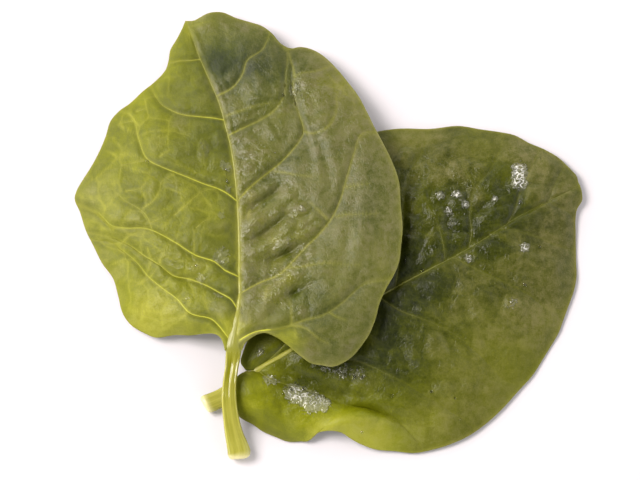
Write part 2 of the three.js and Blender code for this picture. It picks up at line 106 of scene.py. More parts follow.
# %% Midrib and margins of the back leaf
BACK_MIDRIB = [
    (-21.2, -42.2, 4.6), (-16.8, -39.8, 4.7), (-10.8, -36.2, 4.8), (-2.4, -31.2, 5),
    (6.4, -25.8, 5.2), (18.4, -18.4, 5.4), (29, -12.6, 5.2), (38, -7.8, 5), (47, -2.4, 4.8),
    (56.2, 3.8, 4.4), (65.2, 8.8, 3.8), (71.4, 12, 3.2), (76, 14.5, 2.4),
]
BACK_FAR_MARGIN = [
    (-24.6, -42.2, 5.1), (-26, -40, 5.2), (-25.4, -37.2, 5.2), (-24.6, -35, 5.1),
    (-23.4, -32, 4.9), (-22, -26.5, 4.4), (-21.5, -18.5, 3.6), (-21.5, -11, 3), (-20, -3.5, 2.6),
    (-17, 4, 2.4), (-12.5, 11.5, 2.2), (-6.5, 18.5, 2), (0.5, 25, 1.8), (8, 29, 1.6),
    (15, 31.5, 1.4), (22, 32.5, 1.2), (31, 32.5, 0.8), (39.5, 33.5, 0.45), (46, 32.5, 0.45),
    (52, 31.5, 0.9), (56.5, 30.5, 0.9), (61, 28, 1), (65.5, 26, 1.2), (69.5, 23.5, 1.4),
    (73, 20, 1.8), (75, 17.5, 2.1), (75.5, 15.5, 2.3), (76, 14.5, 2.4),
]
BACK_NEAR_MARGIN = [
    (-23.5, -43.5, 5.2), (-24.5, -43, 5.6), (-26.5, -44, 5.8), (-28, -46, 5.8), (-29, -49, 5.4),
    (-29, -52, 4.6), (-28, -54.5, 3), (-25.5, -56.5, 2), (-22.5, -58, 1.2), (-19.5, -60, 0.7),
    (-16, -61.5, 0.5), (-12, -63, 0.45), (-8.5, -63, 0.6), (-6, -63, 1.6), (-3.5, -61, 3.4),
    (-1, -60.5, 4.8), (1.5, -60.5, 5.2), (4, -61, 4.6), (6.5, -62.5, 3.4), (9.5, -64, 2.2),
    (14, -65.5, 1.4), (20, -66, 1), (25.5, -66.5, 0.9), (31, -65.5, 1), (36, -64, 1.2),
    (41.5, -61.5, 1.2), (46.5, -58, 1), (51.5, -53.5, 0.9), (56.5, -48, 0.8), (61, -43, 0.6),
    (64.5, -37.5, 0.45), (67, -33.5, 0.45), (69, -30, 0.6), (70.5, -26, 0.7), (72, -22, 0.8),
    (73.5, -18, 0.8), (74.5, -13.5, 0.7), (74.5, -8.5, 0.45), (74.5, -4.5, 0.45), (74.5, 0.5, 0.8),
    (74.5, 4.5, 1.2), (75, 7.5, 1.6), (76.5, 10, 2), (76.5, 12.5, 2.2), (76, 14.5, 2.4),
]
print(len(BACK_FAR_MARGIN + BACK_NEAR_MARGIN), "points round the back leaf")

# %% [markdown]
# ## Side veins
# Side veins leave the midrib in turn and bend towards the tip. Each is drawn in plan, from the
# midrib to the margin. Its arch says how far its middle stands above a straight line between
# its ends, which is simpler to judge than a height at every point.

# %% Side veins of the front leaf: the arch, and the places in plan
FRONT_LEFT_VEINS = [
    (1.8, [(-28.2, -35.8), (-30.5, -32.5), (-34.5, -28), (-41, -26), (-45, -21.5), (-49.5, -18),
           (-53.5, -14.5), (-57.5, -9.5), (-62, -5.5), (-65, -3), (-71.5, -2)]),
    (2.8, [(-26.5, -24.5), (-29, -22), (-33, -19.5), (-36.5, -17.5), (-41.5, -15.5), (-46, -14.5),
           (-50.5, -11), (-55, -8), (-59.5, -4.5), (-65.5, -1.5), (-72.5, 0.5)]),
    (3.6, [(-26.5, -16), (-31, -13), (-34, -10.5), (-39.5, -8.5), (-45, -5), (-50, -2), (-54.5, 0),
           (-61, 0.5), (-65, 1.5), (-69.5, 6), (-75.5, 9.5)]),
    (3.2, [(-27.5, 9), (-32, 11.5), (-37.5, 13.5), (-43.5, 16), (-49.5, 18.5), (-54.5, 21.5),
           (-57, 27.5), (-59, 35), (-63, 37.5)]),
    (1.8, [(-32, 34), (-35.5, 34.5), (-40.5, 35), (-44, 35.5), (-47.5, 37), (-50.5, 39), (-52, 41),
           (-54, 45.5)]),
    (0.2, [(-39, 53), (-42, 53), (-45, 53), (-48.5, 52.5)]),
]
FRONT_RIGHT_VEINS = [
    (0.5, [(-28.2, -35.8), (-24.5, -33.4), (-21, -32), (-14.5, -31), (-11, -30), (-7, -28.5),
           (-2.5, -27.5), (2.5, -24.5), (6.5, -21), (10, -18), (18.5, -16)]),
    (0.8, [(-25.5, -21), (-20.5, -17), (-14.5, -14.5), (-10.5, -10.5), (-6.5, -6), (-2.5, -2),
           (1, 2.5), (3.5, 8), (5.5, 15), (7.5, 22), (10, 28.5), (14.5, 29.5)]),
    (1, [(-27, 8), (-23.5, 12.5), (-19, 16.5), (-14, 20.5), (-9, 26.5), (-7.5, 30), (-9, 36),
         (-10.5, 42.5), (-9.5, 47.5), (-3.5, 49), (1.5, 51)]),
    (0.8, [(-29.5, 28.5), (-25, 31.5), (-20, 34), (-16, 37), (-13.5, 41.5), (-13, 47), (-12.5, 52),
           (-12, 57)]),
    (0.8, [(-33, 40.5), (-29, 44), (-26, 48), (-24.5, 52.5), (-20, 56), (-17.5, 61.5)]),
]
print(len(FRONT_LEFT_VEINS + FRONT_RIGHT_VEINS), "side veins in the front leaf")

# %% [markdown]
# The back leaf's veins arch most in the middle of the leaf and hardly at all near its tip. The
# first ones on its far side lie hidden under the front leaf, but they still shape the blade.

# %% Side veins of the back leaf
BACK_FAR_VEINS = [
    (1.2, [(-21.2, -42.2), (-17, -38.5), (-13, -34.5), (-11.5, -27), (-11, -18), (-9.5, -9.5),
           (-8.5, -1), (-6.5, 8.5), (-8.5, 16.5)]),
    (2, [(0.5, -29.5), (0.5, -21), (2, -12), (5, -3), (8, 6.5), (11, 16), (13, 25.5), (15, 31.5)]),
    (2.2, [(19, -18), (21, -10.5), (22, -3), (22.5, 5), (23, 12.5), (24.5, 18.5), (28, 24),
           (30.5, 32.5)]),
    (2, [(43, -4.5), (43, -0.5), (42.5, 5), (44, 12.5), (48.5, 18.5), (52, 25.5), (53, 31.5)]),
    (1.4, [(54.5, 2.5), (56, 6.5), (58, 12.5), (60.5, 18.5), (62.5, 22.5), (64, 26)]),
    (0.7, [(65.5, 9), (67.5, 13), (70, 18), (72, 21)]),
]
BACK_NEAR_VEINS = [
    (0.6, [(-21.2, -42.2), (-18, -44.5), (-13, -46.5), (-7, -48), (-1, -50), (5, -52.5),
           (11, -53.5), (17, -55.5), (21.5, -58), (28.5, -66)]),
    (1.6, [(-8.5, -35), (0.5, -38.5), (9.5, -40), (18.5, -44), (27, -48.5), (36, -54),
           (44.5, -59.5)]),
    (1.8, [(15.5, -20.5), (21.5, -24.5), (30.5, -28), (39, -32.5), (46.5, -39), (52.5, -45),
           (58.5, -46)]),
    (1.4, [(36.5, -8.5), (40, -9.5), (45.5, -12.5), (53, -16), (60.5, -19.5), (66, -23.5),
           (71.5, -24)]),
    (1, [(51.5, 0.5), (57.5, 0), (63.5, -2), (69, -4), (74.5, -5.5)]),
    (0.4, [(65.5, 9), (69, 8), (72.5, 6), (74.5, 4)]),
]
print(len(BACK_FAR_VEINS + BACK_NEAR_VEINS), "side veins in the back leaf")

# %% [markdown]
# ## Creases, lobes and stalks
# A crease is a long soft hollow where the blade folds in. It is given by x, y, half its length,
# half its width, its angle and its depth, and a depth below zero makes a bulge. The lobe on
# each side of the stalk swells by a height of its own. A stalk is a row of stations from its
# cut end, each with x, y, z, width, height and the depth of the channel along its top.

# %% Creases, lobes and stalks
FRONT_CREASES = [
    (-20, 8, 6, 2.2, 30, 1), (-15.5, 0, 6.5, 2.2, 32, 1.1), (-13.5, -9, 8, 2.4, 28, 1.3),
    (-9.5, -20.5, 7, 2.6, 26, 1.1), (-22, -3.5, 4, 2, 45, 0.7), (-18, 15, 5, 2, 40, 0.7),
    (-10.5, 42.5, 2.4, 6, 8, 1), (-38.5, -18, 9, 2, -28, 0.8), (-41, -9, 8, 2, -30, 0.6),
    (-36, 25, 7, 2.6, -10, 0.6), (-4, -31, 9, 3.2, 35, -0.8), (2, -24, 8, 2.2, 38, 0.7),
]
BACK_CREASES = [
    (46, 6, 4.5, 2.4, 60, 0.9), (36, 2, 5.5, 2.4, 100, 0.9), (28, -20, 7, 2.4, -30, 0.9),
    (40, -24, 7, 2.6, -28, 0.8), (20, -34, 7, 2.6, -20, 0.8), (52, 14, 5, 2.2, 110, 0.8),
    (60, -4, 6, 2, -20, 0.6), (-4, -46, 13, 2.2, -22, 1.6), (8, -44, 7, 2.2, -24, 1.1),
    (10, -51, 7, 2.2, -30, 0.6), (26, 16, 7, 2.2, 80, 0.8),
]
FRONT_LOBES = (1.2, 0.9)
BACK_LOBES = (0.9, 3.0)
FRONT_STALK = [
    (-26.6, -68.5, 2.2, 6, 3.6, 0.2), (-26.5, -66.6, 2.7, 6.9, 4.2, 0.4),
    (-27.1, -64.3, 3.4, 6.3, 4.4, 0.6), (-27.8, -62, 4.2, 5.6, 4.3, 0.7),
    (-28.8, -57.1, 6.1, 4.8, 4, 0.7), (-29.4, -51.6, 7.8, 4.5, 3.7, 0.7),
    (-29.2, -46.4, 8.5, 4.1, 3.5, 0.7), (-28.7, -42.6, 8.7, 4, 3.3, 0.7),
    (-28.3, -39.4, 8.8, 4.3, 3, 0.6), (-28.1, -37.6, 8.8, 4.4, 2.8, 0.4),
]
BACK_STALK = [
    (-37, -52.4, 2, 5.8, 4.3, 0.4), (-34.4, -51.4, 2, 5.7, 4.3, 0.5),
    (-31.6, -50, 2, 5.4, 4.2, 0.5), (-26.4, -46, 2.1, 4.6, 3.9, 0.4),
    (-23.4, -43.8, 2.3, 4.2, 3.3, 0.2),
]
print(len(FRONT_CREASES + BACK_CREASES), "creases")

# %% [markdown]
# ## Lines that can be asked for a place
# Few points make a line easy to draw and change, and a smooth curve is then run through them.
# A centripetal Catmull-Rom curve passes through every point and makes no loops at close ones.
# The CAD model uses the same kind of curve, so both draw the same leaf.

# %% A smooth line through points
class Line:
    """A smooth line through points, asked for by share of its length."""

    def __init__(self, points, steps=20):
        p = np.array([tuple(q) + (0.0,) * (3 - len(q)) for q in points], float)
        p = np.vstack([2 * p[0] - p[1], p, 2 * p[-1] - p[-2]])
        t = np.linspace(0, 1, steps, endpoint=False)[:, None]
        spans = []
        for a, b, c, d in zip(p, p[1:], p[2:], p[3:]):
            ab, bc, cd = (np.linalg.norm(y - x) ** 0.5 + 1e-9 for x, y in ((a, b), (b, c), (c, d)))
            leave = ((b - a) / ab - (c - a) / (ab + bc) + (c - b) / bc) * bc
            arrive = ((c - b) / bc - (d - b) / (bc + cd) + (d - c) / cd) * bc
            spans.append((2 * t**3 - 3 * t**2 + 1) * b + (t**3 - 2 * t**2 + t) * leave
                         + (3 * t**2 - 2 * t**3) * c + (t**3 - t**2) * arrive)
        self.points = np.vstack(spans + [p[-2:-1]])
        steps = np.linalg.norm(np.diff(self.points, axis=0), axis=1)
        self.length = steps.sum()
        self.shares = np.concatenate([[0], np.cumsum(steps)]) / self.length

    def at(self, share):
        """The place, or places, at a share of the length."""
        share = np.asarray(share, float)
        return np.stack([np.interp(share, self.shares, self.points[:, k]) for k in range(3)], -1)

    def spread(self, count):
        """Evenly spread places, with both ends."""
        return self.at(np.linspace(0, 1, count))

    def share_near(self, place):
        """The share of the length that comes nearest to a place in plan."""
        shares = np.linspace(0, 1, 1501)
        away = np.linalg.norm(self.at(shares)[:, :2] - np.array(place[:2]), axis=1)
        return shares[away.argmin()]


def fade(start, end, x):
    """0 before start, 1 after end, and a soft step between them."""
    t = np.clip((np.asarray(x, float) - start) / (end - start), 0, 1)
    return t * t * (3 - 2 * t)


front_midrib, back_midrib = Line(FRONT_MIDRIB), Line(BACK_MIDRIB)
print("midribs are %.0f and %.0f mm long" % (front_midrib.length, back_midrib.length))

# %% [markdown]
# ## A blade between its veins
# Leaf tissue grows in panels between the side veins and puffs up there, while the veins stay
# low. So each panel is a Coons patch: a surface that is stretched between four given edges,
# here two side veins, a piece of the midrib and a piece of the margin. A sculpted plane could
# look as good, but this way the relief always follows the veins. The sizes come from the CAD
# model, and only the grid is finer.

# %% Veins, puffed panels and creases
CAD_ROWS = 40  # side veins leave the midrib at one of these rows
FINER = 4  # rows here for one row of the CAD model
ROWS = CAD_ROWS * FINER
COLUMNS = 104
ACROSS = np.linspace(0, 1, COLUMNS + 1)  # from the midrib to the margin
PUFF, FULL_PUFF_WIDTH, PUFF_LENGTH = 1.1, 16, 15
QUILT = 0.28  # how uneven the puff is


def side_vein(midrib, margin, arch, path):
    """A vein's row on the midrib, its share of the margin and its points from one to the other."""
    row = round(CAD_ROWS * midrib.share_near(path[0]))
    edge = margin.share_near(path[-1])
    start, end = midrib.at(row / CAD_ROWS), margin.at(edge)
    points = Line([start[:2], *path[1:-1], end[:2]]).at(ACROSS)
    points[:, 2] = start[2] + (end[2] - start[2]) * ACROSS + arch * 4 * ACROSS * (1 - ACROSS)
    return row * FINER, edge, points


def swelling(u, width, reach, number, closing):
    """The puff of a panel in the row at share u of the way from one of its veins to the next."""
    across = np.sin(np.pi * u) ** 0.8 * ((1 - u) ** 1.5 if closing else 1)
    along = fade(0, 0.16, ACROSS) * (1 - fade(0.78, 1, ACROSS))
    wave = np.cos(2 * np.pi * (reach / PUFF_LENGTH * ACROSS + 0.37 * number))
    quilt = 0.85 + QUILT * wave * np.cos(2 * np.pi * (u + 0.15 * number))
    return PUFF * np.minimum(1, width / FULL_PUFF_WIDTH) * across * along * quilt


def creased(x, y, creases):
    """The rise of all creases at places in plan."""
    rise = np.zeros(np.shape(x))
    for at_x, at_y, length, width, angle, depth in creases:
        cos, sin = math.cos(math.radians(angle)), math.sin(math.radians(angle))
        along = ((x - at_x) * cos + (y - at_y) * sin) / length
        across = ((y - at_y) * cos - (x - at_x) * sin) / width
        rise -= depth * np.exp(-(along**2) - across**2)
    return rise


print("one half of a blade has", ROWS, "rows of", COLUMNS, "faces")

# %% [markdown]
# ## Half a blade, and both halves as one sheet
# The rounded lobe beside the stalk lies between the first vein and the margin, which meet in a
# point, so it is stretched between two edges only. The other panels follow one after another up
# to the tip. The two halves share the midrib, so they are joined there point by point. Merging
# doubles afterwards would do it too, but could also close a narrow gap that should stay.

# %% Rows of one half, and the joined sheet
LOBE_ROWS = 28


def half_blade(midrib, margin, veins, lobe, creases):
    """Rows of places from midrib to margin, from the base of the leaf to its tip."""
    lines = [side_vein(midrib, margin, arch, path) for arch, path in veins]
    lines.append((ROWS, 1.0, np.repeat(margin.at(1.0)[None], COLUMNS + 1, 0)))
    rows = []
    outer = margin.at(lines[0][1] * ACROSS)
    rounded = fade(0, 0.25, ACROSS) * (1 - fade(0.6, 1, ACROSS))
    for u in np.arange(LOBE_ROWS) / LOBE_ROWS:
        row = outer * (1 - u) + lines[0][2] * u
        row[:, 2] += lobe * math.sin(math.pi * u) * rounded
        rows.append(row)
    for number, ((row_a, edge_a, a), (row_b, edge_b, b)) in enumerate(zip(lines, lines[1:])):
        closing = number + 2 == len(lines)
        reach = np.linalg.norm(a[-1] - a[0])
        width = np.linalg.norm(b - a, axis=1)
        for r in range(row_a, row_b + closing):
            u = (r - row_a) / (row_b - row_a)
            root, edge = midrib.at(r / ROWS), margin.at(edge_a + (edge_b - edge_a) * u)
            row = a + (b - a) * u + root + (edge - root) * ACROSS[:, None]
            low, high = a[0] + (b[0] - a[0]) * u, a[-1] + (b[-1] - a[-1]) * u
            row -= low + (high - low) * ACROSS[:, None]
            row[:, 2] += swelling(u, width, reach, number, closing)
            rows.append(row)
    rows = np.array(rows)
    sunk = creased(rows[..., 0], rows[..., 1], creases)
    rows[..., 2] += sunk * fade(0, 0.12, ACROSS) * (1 - fade(0.85, 1, ACROSS))
    return rows, lines


def blade_sheet(left, right):
    """Both halves as one sheet: its places and its faces, turned face up."""
    last = len(left) - 1
    places = [left[last, 0]]
    apex = 0

    def add(points):
        first = len(places)
        places.extend(points)
        return np.arange(first, len(places))

    spine = add(left[LOBE_ROWS:last, 0])
    faces = []
    for grid, turned in ((left, False), (right, True)):
        index = np.zeros(grid.shape[:2], int)
        index[:last] = add(grid[:last].reshape(-1, 3)).reshape(last, -1)
        index[LOBE_ROWS:last, 0] = spine
        index[: LOBE_ROWS + 1, -1] = index[LOBE_ROWS, -1]
        index[last] = apex
        corners = [index[:-1, :-1], index[1:, :-1], index[1:, 1:], index[:-1, 1:]]
        quads = np.stack(corners, -1).reshape(-1, 4)
        faces.extend(quads[:, ::-1].tolist() if turned else quads.tolist())
    faces = [[k for n, k in enumerate(f) if k != f[n - 1]] for f in faces]
    faces = [f for f in faces if len(f) > 2]
    used = np.unique(np.concatenate([np.array(f) for f in faces]))
    new = np.full(len(places), -1)
    new[used] = np.arange(len(used))
    return np.array(places)[used], [[int(new[k]) for k in f] for f in faces]


print("the lobe beside the stalk adds", LOBE_ROWS, "rows")

# %% [markdown]
# ## Fields over a leaf
# Skin that puckers, yellows, or takes painted sheen and painted shade more in one place than in
# another can be painted by hand, or worked out. Here a few dabs say where: each has a place, a
# radius and an amount, and a field is their sum. Smooth noise and a net of irregular cells, as
# fine veins make in a real leaf, break it up. Every random number comes from a fixed seed, so each
# run gives one leaf.

# %% Dabs and smooth noise
def dabs(xy, marks):
    """Sum of soft round marks (x, y, radius, amount)."""
    total = np.zeros(len(xy))
    for x, y, radius, amount in marks:
        away = (xy[:, 0] - x) ** 2 + (xy[:, 1] - y) ** 2
        total += amount * np.exp(-away / radius**2)
    return total


LATTICE = 128  # points along each side of the noise, before it repeats


def noise(xy, size, seed):
    """Smooth noise between -1 and 1, in lumps of the given size."""
    lattice = np.random.default_rng(seed).uniform(-1, 1, (LATTICE, LATTICE))
    place = xy / size + 64.37
    cell = np.floor(place).astype(int)
    part = place - cell
    part = part * part * (3 - 2 * part)
    x0, y0 = cell[:, 0] % LATTICE, cell[:, 1] % LATTICE
    x1, y1 = (x0 + 1) % LATTICE, (y0 + 1) % LATTICE
    low = lattice[x0, y0] * (1 - part[:, 0]) + lattice[x1, y0] * part[:, 0]
    high = lattice[x0, y1] * (1 - part[:, 0]) + lattice[x1, y1] * part[:, 0]
    return low * (1 - part[:, 1]) + high * part[:, 1]


print("noise repeats after", LATTICE, "lumps")

# %% [markdown]
# The cells are those of a Voronoi pattern, with a middle dropped near each point of a grid. The
# cell that a point is in gives it a tone, and a tilt that is zero in the middle of the cell.
# The points are taken a few thousand at a time, because each is compared with every middle.

# %% A net of cells
BATCH = 4000


def cells(xy, size, seed):
    """Distance to the border of irregular cells in mm, a tone for each cell, and its tilt."""
    rng = np.random.default_rng(seed)
    warped = xy + 0.22 * size * np.stack([noise(xy, size, seed + 1), noise(xy, size, seed + 2)], 1)
    grid = np.stack(np.meshgrid(np.arange(-90, 90, size), np.arange(-90, 90, size)), -1)
    middles = grid.reshape(-1, 2) + rng.uniform(-0.42, 0.42, (grid.size // 2, 2)) * size
    tones = rng.uniform(0, 1, len(middles))
    slopes = rng.uniform(-1, 1, (len(middles), 2))
    border, tone, tilt = np.empty(len(xy)), np.empty(len(xy)), np.empty(len(xy))
    for start in range(0, len(xy), BATCH):
        some = slice(start, start + BATCH)
        part = warped[some]
        away = ((part[:, None] - middles[None]) ** 2).sum(-1)
        nearest = np.argpartition(away, 2, axis=1)[:, :2]
        two = np.sqrt(np.take_along_axis(away, nearest, 1))
        border[some] = np.abs(two[:, 0] - two[:, 1]) / 2
        own = away.argmin(1)
        tone[some] = tones[own]
        tilt[some] = ((part - middles[own]) * slopes[own]).sum(1)
    return border, tone, tilt


def wrinkled(xy, marks, seed):
    """Blisters that run one way: x, y, radius, angle, spacing and height of each patch."""
    total = np.zeros(len(xy))
    for n, (x, y, radius, angle, spacing, height) in enumerate(marks):
        cos, sin = math.cos(math.radians(angle)), math.sin(math.radians(angle))
        along, across = xy @ [cos, sin], xy @ [-sin, cos]
        waves = noise(np.stack([along / 2.8, across], 1), spacing, seed + 20 + n)
        finer = noise(np.stack([along / 2.2, across], 1), spacing / 2, seed + 40 + n)
        blisters = np.abs(waves) + 0.4 * np.abs(finer) - 0.35
        total += height * blisters * dabs(xy, [(x, y, radius, 1)])
    return total


print("net of cells ready")

# %% [markdown]
# ## Where the front leaf puckers, yellows and is wet
# Its left half is thin and yellow-green towards its edge. Its right half is darker, which is
# painted shade, has a painted grey sheen and is deeply wrinkled beside the midrib. Dabs of yellow
# lighten the green and dabs below zero darken it. Some of them are painted light and shade: shade
# on the right side of the tip and in the dents beside the midrib, and highlights on the crests
# between those dents.

# %% Dabs for the front leaf
FRONT_PUCKER = [
    (-17, -4, 12, 0.9), (-20, 18, 9, 0.6), (-10.5, -20, 9, 0.6), (-42, -14, 13, 0.6),
    (-38, 22, 13, 0.5), (-58, -14, 12, 0.2), (-60, 12, 12, 0.2), (-20, 40, 10, 0.3),
    (-8, 44, 7, 0.5), (-2, 18, 14, -0.2), (10, -6, 13, -0.3), (-2, -14, 8, -0.15),
]
# Dabs of yellow, some of them painted light and shade. The ones below zero on the right side of
# the tip and in the dents beside the midrib are painted shade. The small ones above zero on the
# crests between those dents are painted highlights.
FRONT_YELLOW_AND_PAINTED_LIGHT = [
    (-72, 8, 18, 0.08), (-62, -14, 20, 0.1), (-56, 40, 14, 0.16), (-48, 56, 9, 0.1),
    (-40, 64, 5, 0.14), (-48, -32, 12, 0.14), (8, 44, 7, 0.1), (1, 52, 6, 0.04),
    (-24, 50, 12, -0.21), (-36, 52, 8, -0.08), (-47, 40, 8, -0.12), (-4, -22, 9, -0.13),
    (-12, -34, 5, 0.22), (-36, 22, 14, -0.06), (-29, 4, 8, 0.06), (-36, 9, 9, 0.12),
    (-29, -14, 8, 0.04), (-14, 16, 9, -0.1), (8, 8, 11, -0.12), (-4, 26, 10, -0.12),
    (-54, -25, 8, 0.22), (-43, 58, 6, -0.08), (4, -34, 10, -0.1), (-29, -32, 5, 0.18),
    (-36, -20, 9, 0.08), (-28, -34, 5, 0.12), (-34, 48, 7, -0.05), (-33, 30, 7, -0.12),
    (-32, 8, 8, -0.08), (-32, -22, 6, -0.1), (24, 0, 14, -0.03), (18, 22, 10, -0.04),
    (22, -20, 12, -0.04), (-27, 0, 8, -0.1), (-26, -18, 8, -0.1), (-56, -8, 11, 0.02),
    (-14, 52, 9, -0.16), (-30, 54, 9, -0.04), (-34, 53, 5.5, -0.13), (-38, 60, 5, -0.04),
    (-24.2, 5, 2.8, 0.12), (-20.4, 1.8, 2.2, 0.1), (-12, -15.5, 2.8, 0.12),
    (-18.2, -20.6, 2.8, 0.12), (-16.5, -3.8, 2.2, 0.1), (-23.4, 10.4, 2.2, 0.08),
    (-19.2, 8, 1.8, -0.1), (-13.5, -7.6, 2.2, -0.12), (-9.6, -20, 2.6, -0.12),
]
# Dabs of painted grey sheen. Those beside the midrib on the right are painted highlights on its
# crests. Those below zero take the sheen away, as in the dents there.
FRONT_PAINTED_SHEEN = [
    (-74, 8, 12, 0.3), (-48, -30, 9, 0.3), (-45, 34, 4, 0.35), (-34, 43, 4, 0.5),
    (-52, -4, 10, 0.12), (-44, 60, 10, -0.4), (-62, 30, 14, -0.3), (-3, -24, 8, -0.25),
    (-13, -33, 5, -0.6), (-20, 41, 8, -0.3), (-12, 48, 4, -0.45), (-16, 60, 5, -0.45),
    (8, 30, 14, 0.25), (10, 2, 14, 0.15), (0, -36, 8, -0.15), (11, 38, 7, 0.6), (1, 47, 6, 0.8),
    (8, 43, 7, 0.7), (-30, 54, 9, -0.5), (-34, 52, 6, -0.5), (-23.6, 10.1, 2.4, 0.5),
    (-24.2, 4.8, 2.8, 0.6), (-20.5, 1.7, 2.4, 0.5), (-24.8, -3.4, 2.4, 0.5),
    (-16.5, -3.8, 2.6, 0.5), (-7.6, -8.9, 3, 0.4), (-12, -15.5, 2.8, 0.5), (-18.2, -20.6, 3, 0.5),
    (-26.4, 27, 2.2, 0.4), (-22.6, 23, 2.4, 0.4), (-19.2, 8, 2, -0.5), (-13.5, -7.8, 2.6, -0.6),
    (-9.6, -20, 3, -0.6),
]
FRONT_WRINKLES = [
    (-17.5, 2, 12, 32, 3, 1.15), (-11, -20, 8, 28, 3.2, 1.05), (-20, 38, 9, 20, 3.4, 0.4),
    (-40, -14, 12, -34, 3.2, 0.45), (-40, 18, 12, -20, 3.4, 0.35), (-34, 42, 8, 10, 2.8, 0.4),
    (-54, -20, 9, -35, 3, 0.35), (-60, 8, 11, -20, 3.2, 0.25), (-50, 30, 9, 10, 3, 0.25),
]
FRONT_WET = [
    (-38, -15.5, 2.4, 0.8), (-32, -9, 3, 1), (-10.5, 43, 2.5, 0.9), (-37, 25, 3, 0.5),
    (-12, -4, 2, 0.6), (-26, -26, 2.4, 0.6), (-8, 5.5, 1.4, 0.9), (-32, 3.4, 1.6, 0.9),
    (-31, 19, 2.6, 0.8), (-30, 12, 1.6, 0.8), (-42, -22, 2, 0.7), (-33, -21, 2, 0.7),
]
print(len(FRONT_YELLOW_AND_PAINTED_LIGHT), "dabs of yellow on the front leaf")

# %% [markdown]
# The back leaf is darker, puckered in the middle and wet in many small places. Its lifted near
# margin and the lobe beside the stalk are its yellowest parts, partly by their own colour and
# partly by painted light where little light falls or the stalk shades them. Dabs below zero paint
# shade beside the front leaf's edge, and its grey patches are a painted sheen.

# %% Dabs for the back leaf
BACK_PUCKER = [
    (28, 6, 21, 0.6), (45, 8, 12, 0.4), (30, -32, 22, 0.15), (-6, -44, 12, 0.4),
    (56, -14, 12, 0.25), (26, -18, 12, -0.2),
]
# Dabs of yellow, some of them painted light and shade. Above zero on the lifted near margin and
# the lobe beside the stalk they are painted light where little light falls or the stalk shades.
# Below zero beside the front leaf's edge they are painted shade.
BACK_YELLOW_AND_PAINTED_LIGHT = [
    (-2, -60, 9, 0.45), (14, -64, 9, 0.52), (30, -64, 10, 0.22), (-20, -54, 9, 0.28),
    (48, -54, 10, 0.12), (24, 32, 9, 0.2), (48, 31, 8, 0.12), (68, 22, 8, 0.06),
    (73, -10, 8, 0.06), (70, -28, 8, 0.12), (-16, -42, 7, 0.16), (10, -18, 10, -0.35),
    (60, -45, 12, 0.24), (18, -4, 10, -0.12), (-2, -34, 6, -0.22), (30, -55, 14, 0.08),
    (3, -40, 6, -0.15), (44, -38, 14, 0.12), (-10, -58, 9, 0.25), (6, -58, 9, 0.25),
    (24, -26, 10, -0.12), (38, -4, 8, -0.1), (55, 8, 7, -0.08), (-20, -48, 7, 0.1),
    (-17, -38, 6, 0.1), (10, -60, 10, 0.12), (-26, -50, 6, 0.25), (-24, -43, 5, 0.1),
    (-12, -53, 12, -0.11), (47, 2, 8, -0.09), (27, -15, 9, -0.1), (20, -39, 8, -0.14),
    (39, -14, 8, -0.03), (9, -61, 8, -0.11), (64, -20, 12, 0.03), (32, -50, 12, 0.05),
]
# Dabs of painted grey sheen on the back leaf. Those below zero take it away.
BACK_PAINTED_SHEEN = [
    (67, -4, 10, 0.5), (68, -24, 14, 0.4), (30, 32, 8, 0.35), (58, 28, 8, 0.4), (38, 19, 5.5, 0.6),
    (44, 10, 3.5, 0.6), (50, 8, 6, -0.5), (52, 17, 5, -0.4), (66, 18, 8, 0.5), (60, 9, 7, -0.5),
    (31, 3, 4, 0.4), (38, -1, 6, -0.4), (24, -2, 3, 0.5), (42, -15, 10, 0.3), (47, -7, 5, -0.3),
    (26, 9, 6, -0.3), (20, 25, 6, 0.3), (18, -20, 12, -0.6), (-6, -44, 14, -0.5),
    (2, -60, 14, 0.2), (30, -62, 12, 0.4), (40, -40, 14, 0.2), (-22, -48, 8, -0.5),
    (48, -50, 12, 0.5), (63, -20, 13, 0.5), (68, 6, 11, 0.8), (62, 24, 8, 0.5), (30, 30, 14, 0.25),
    (47, 2, 7, -0.3), (20, -39, 9, -0.4), (27, -15, 9, -0.3),
]
BACK_WRINKLES = [
    (26, -6, 14, 60, 3, 0.6), (44, 6, 12, 20, 2.8, 0.6), (30, -32, 18, -30, 3.4, 0.5),
    (-6, -46, 12, -24, 3, 0.6), (10, -46, 12, -28, 2.8, 0.8), (56, -12, 12, -15, 3.2, 0.45),
]
BACK_WET = [
    (57.5, 19, 2.6, 1.2), (57.5, 14.5, 2.6, 1.2), (38.5, 11, 1.8, 1.1), (41, 8, 1.6, 1),
    (33.5, 10.5, 1.6, 1), (36, 6, 1.8, 1), (37.5, 2, 1.3, 1), (50, 9.5, 1.3, 1),
    (59, -5, 1.8, 1.1), (42, -8.5, 1.5, 1), (-17.5, -45.5, 2.5, 0.9), (-10, -49, 3.4, 1.2),
    (-5, -52, 3.4, 1.2), (-1, -52.5, 2.5, 0.8), (4, -43, 3.5, 0.65), (-2, -41, 3, 0.6),
    (10, -44, 3, 0.6), (-20.5, -37, 2.2, 0.7), (55, -22, 3, 0.6),
]
print(len(BACK_YELLOW_AND_PAINTED_LIGHT), "dabs of yellow on the back leaf")

# %% [markdown]
# ## How far the nearest vein is
# Almost everything on a leaf depends on how near a vein, the midrib or the margin is. A k-d
# tree sorts places so that the nearest of thousands is found at once, where a plain search
# would compare them all.

# %% Distances in plan
def unit(vectors):
    """The same directions, each with a length of 1."""
    return vectors / np.maximum(np.linalg.norm(vectors, axis=-1, keepdims=True), 1e-12)


def plan_tree(points):
    """A search tree over places in plan."""
    tree = kdtree.KDTree(len(points))
    for i, (x, y) in enumerate(points):
        tree.insert((x, y, 0), i)
    tree.balance()
    return tree


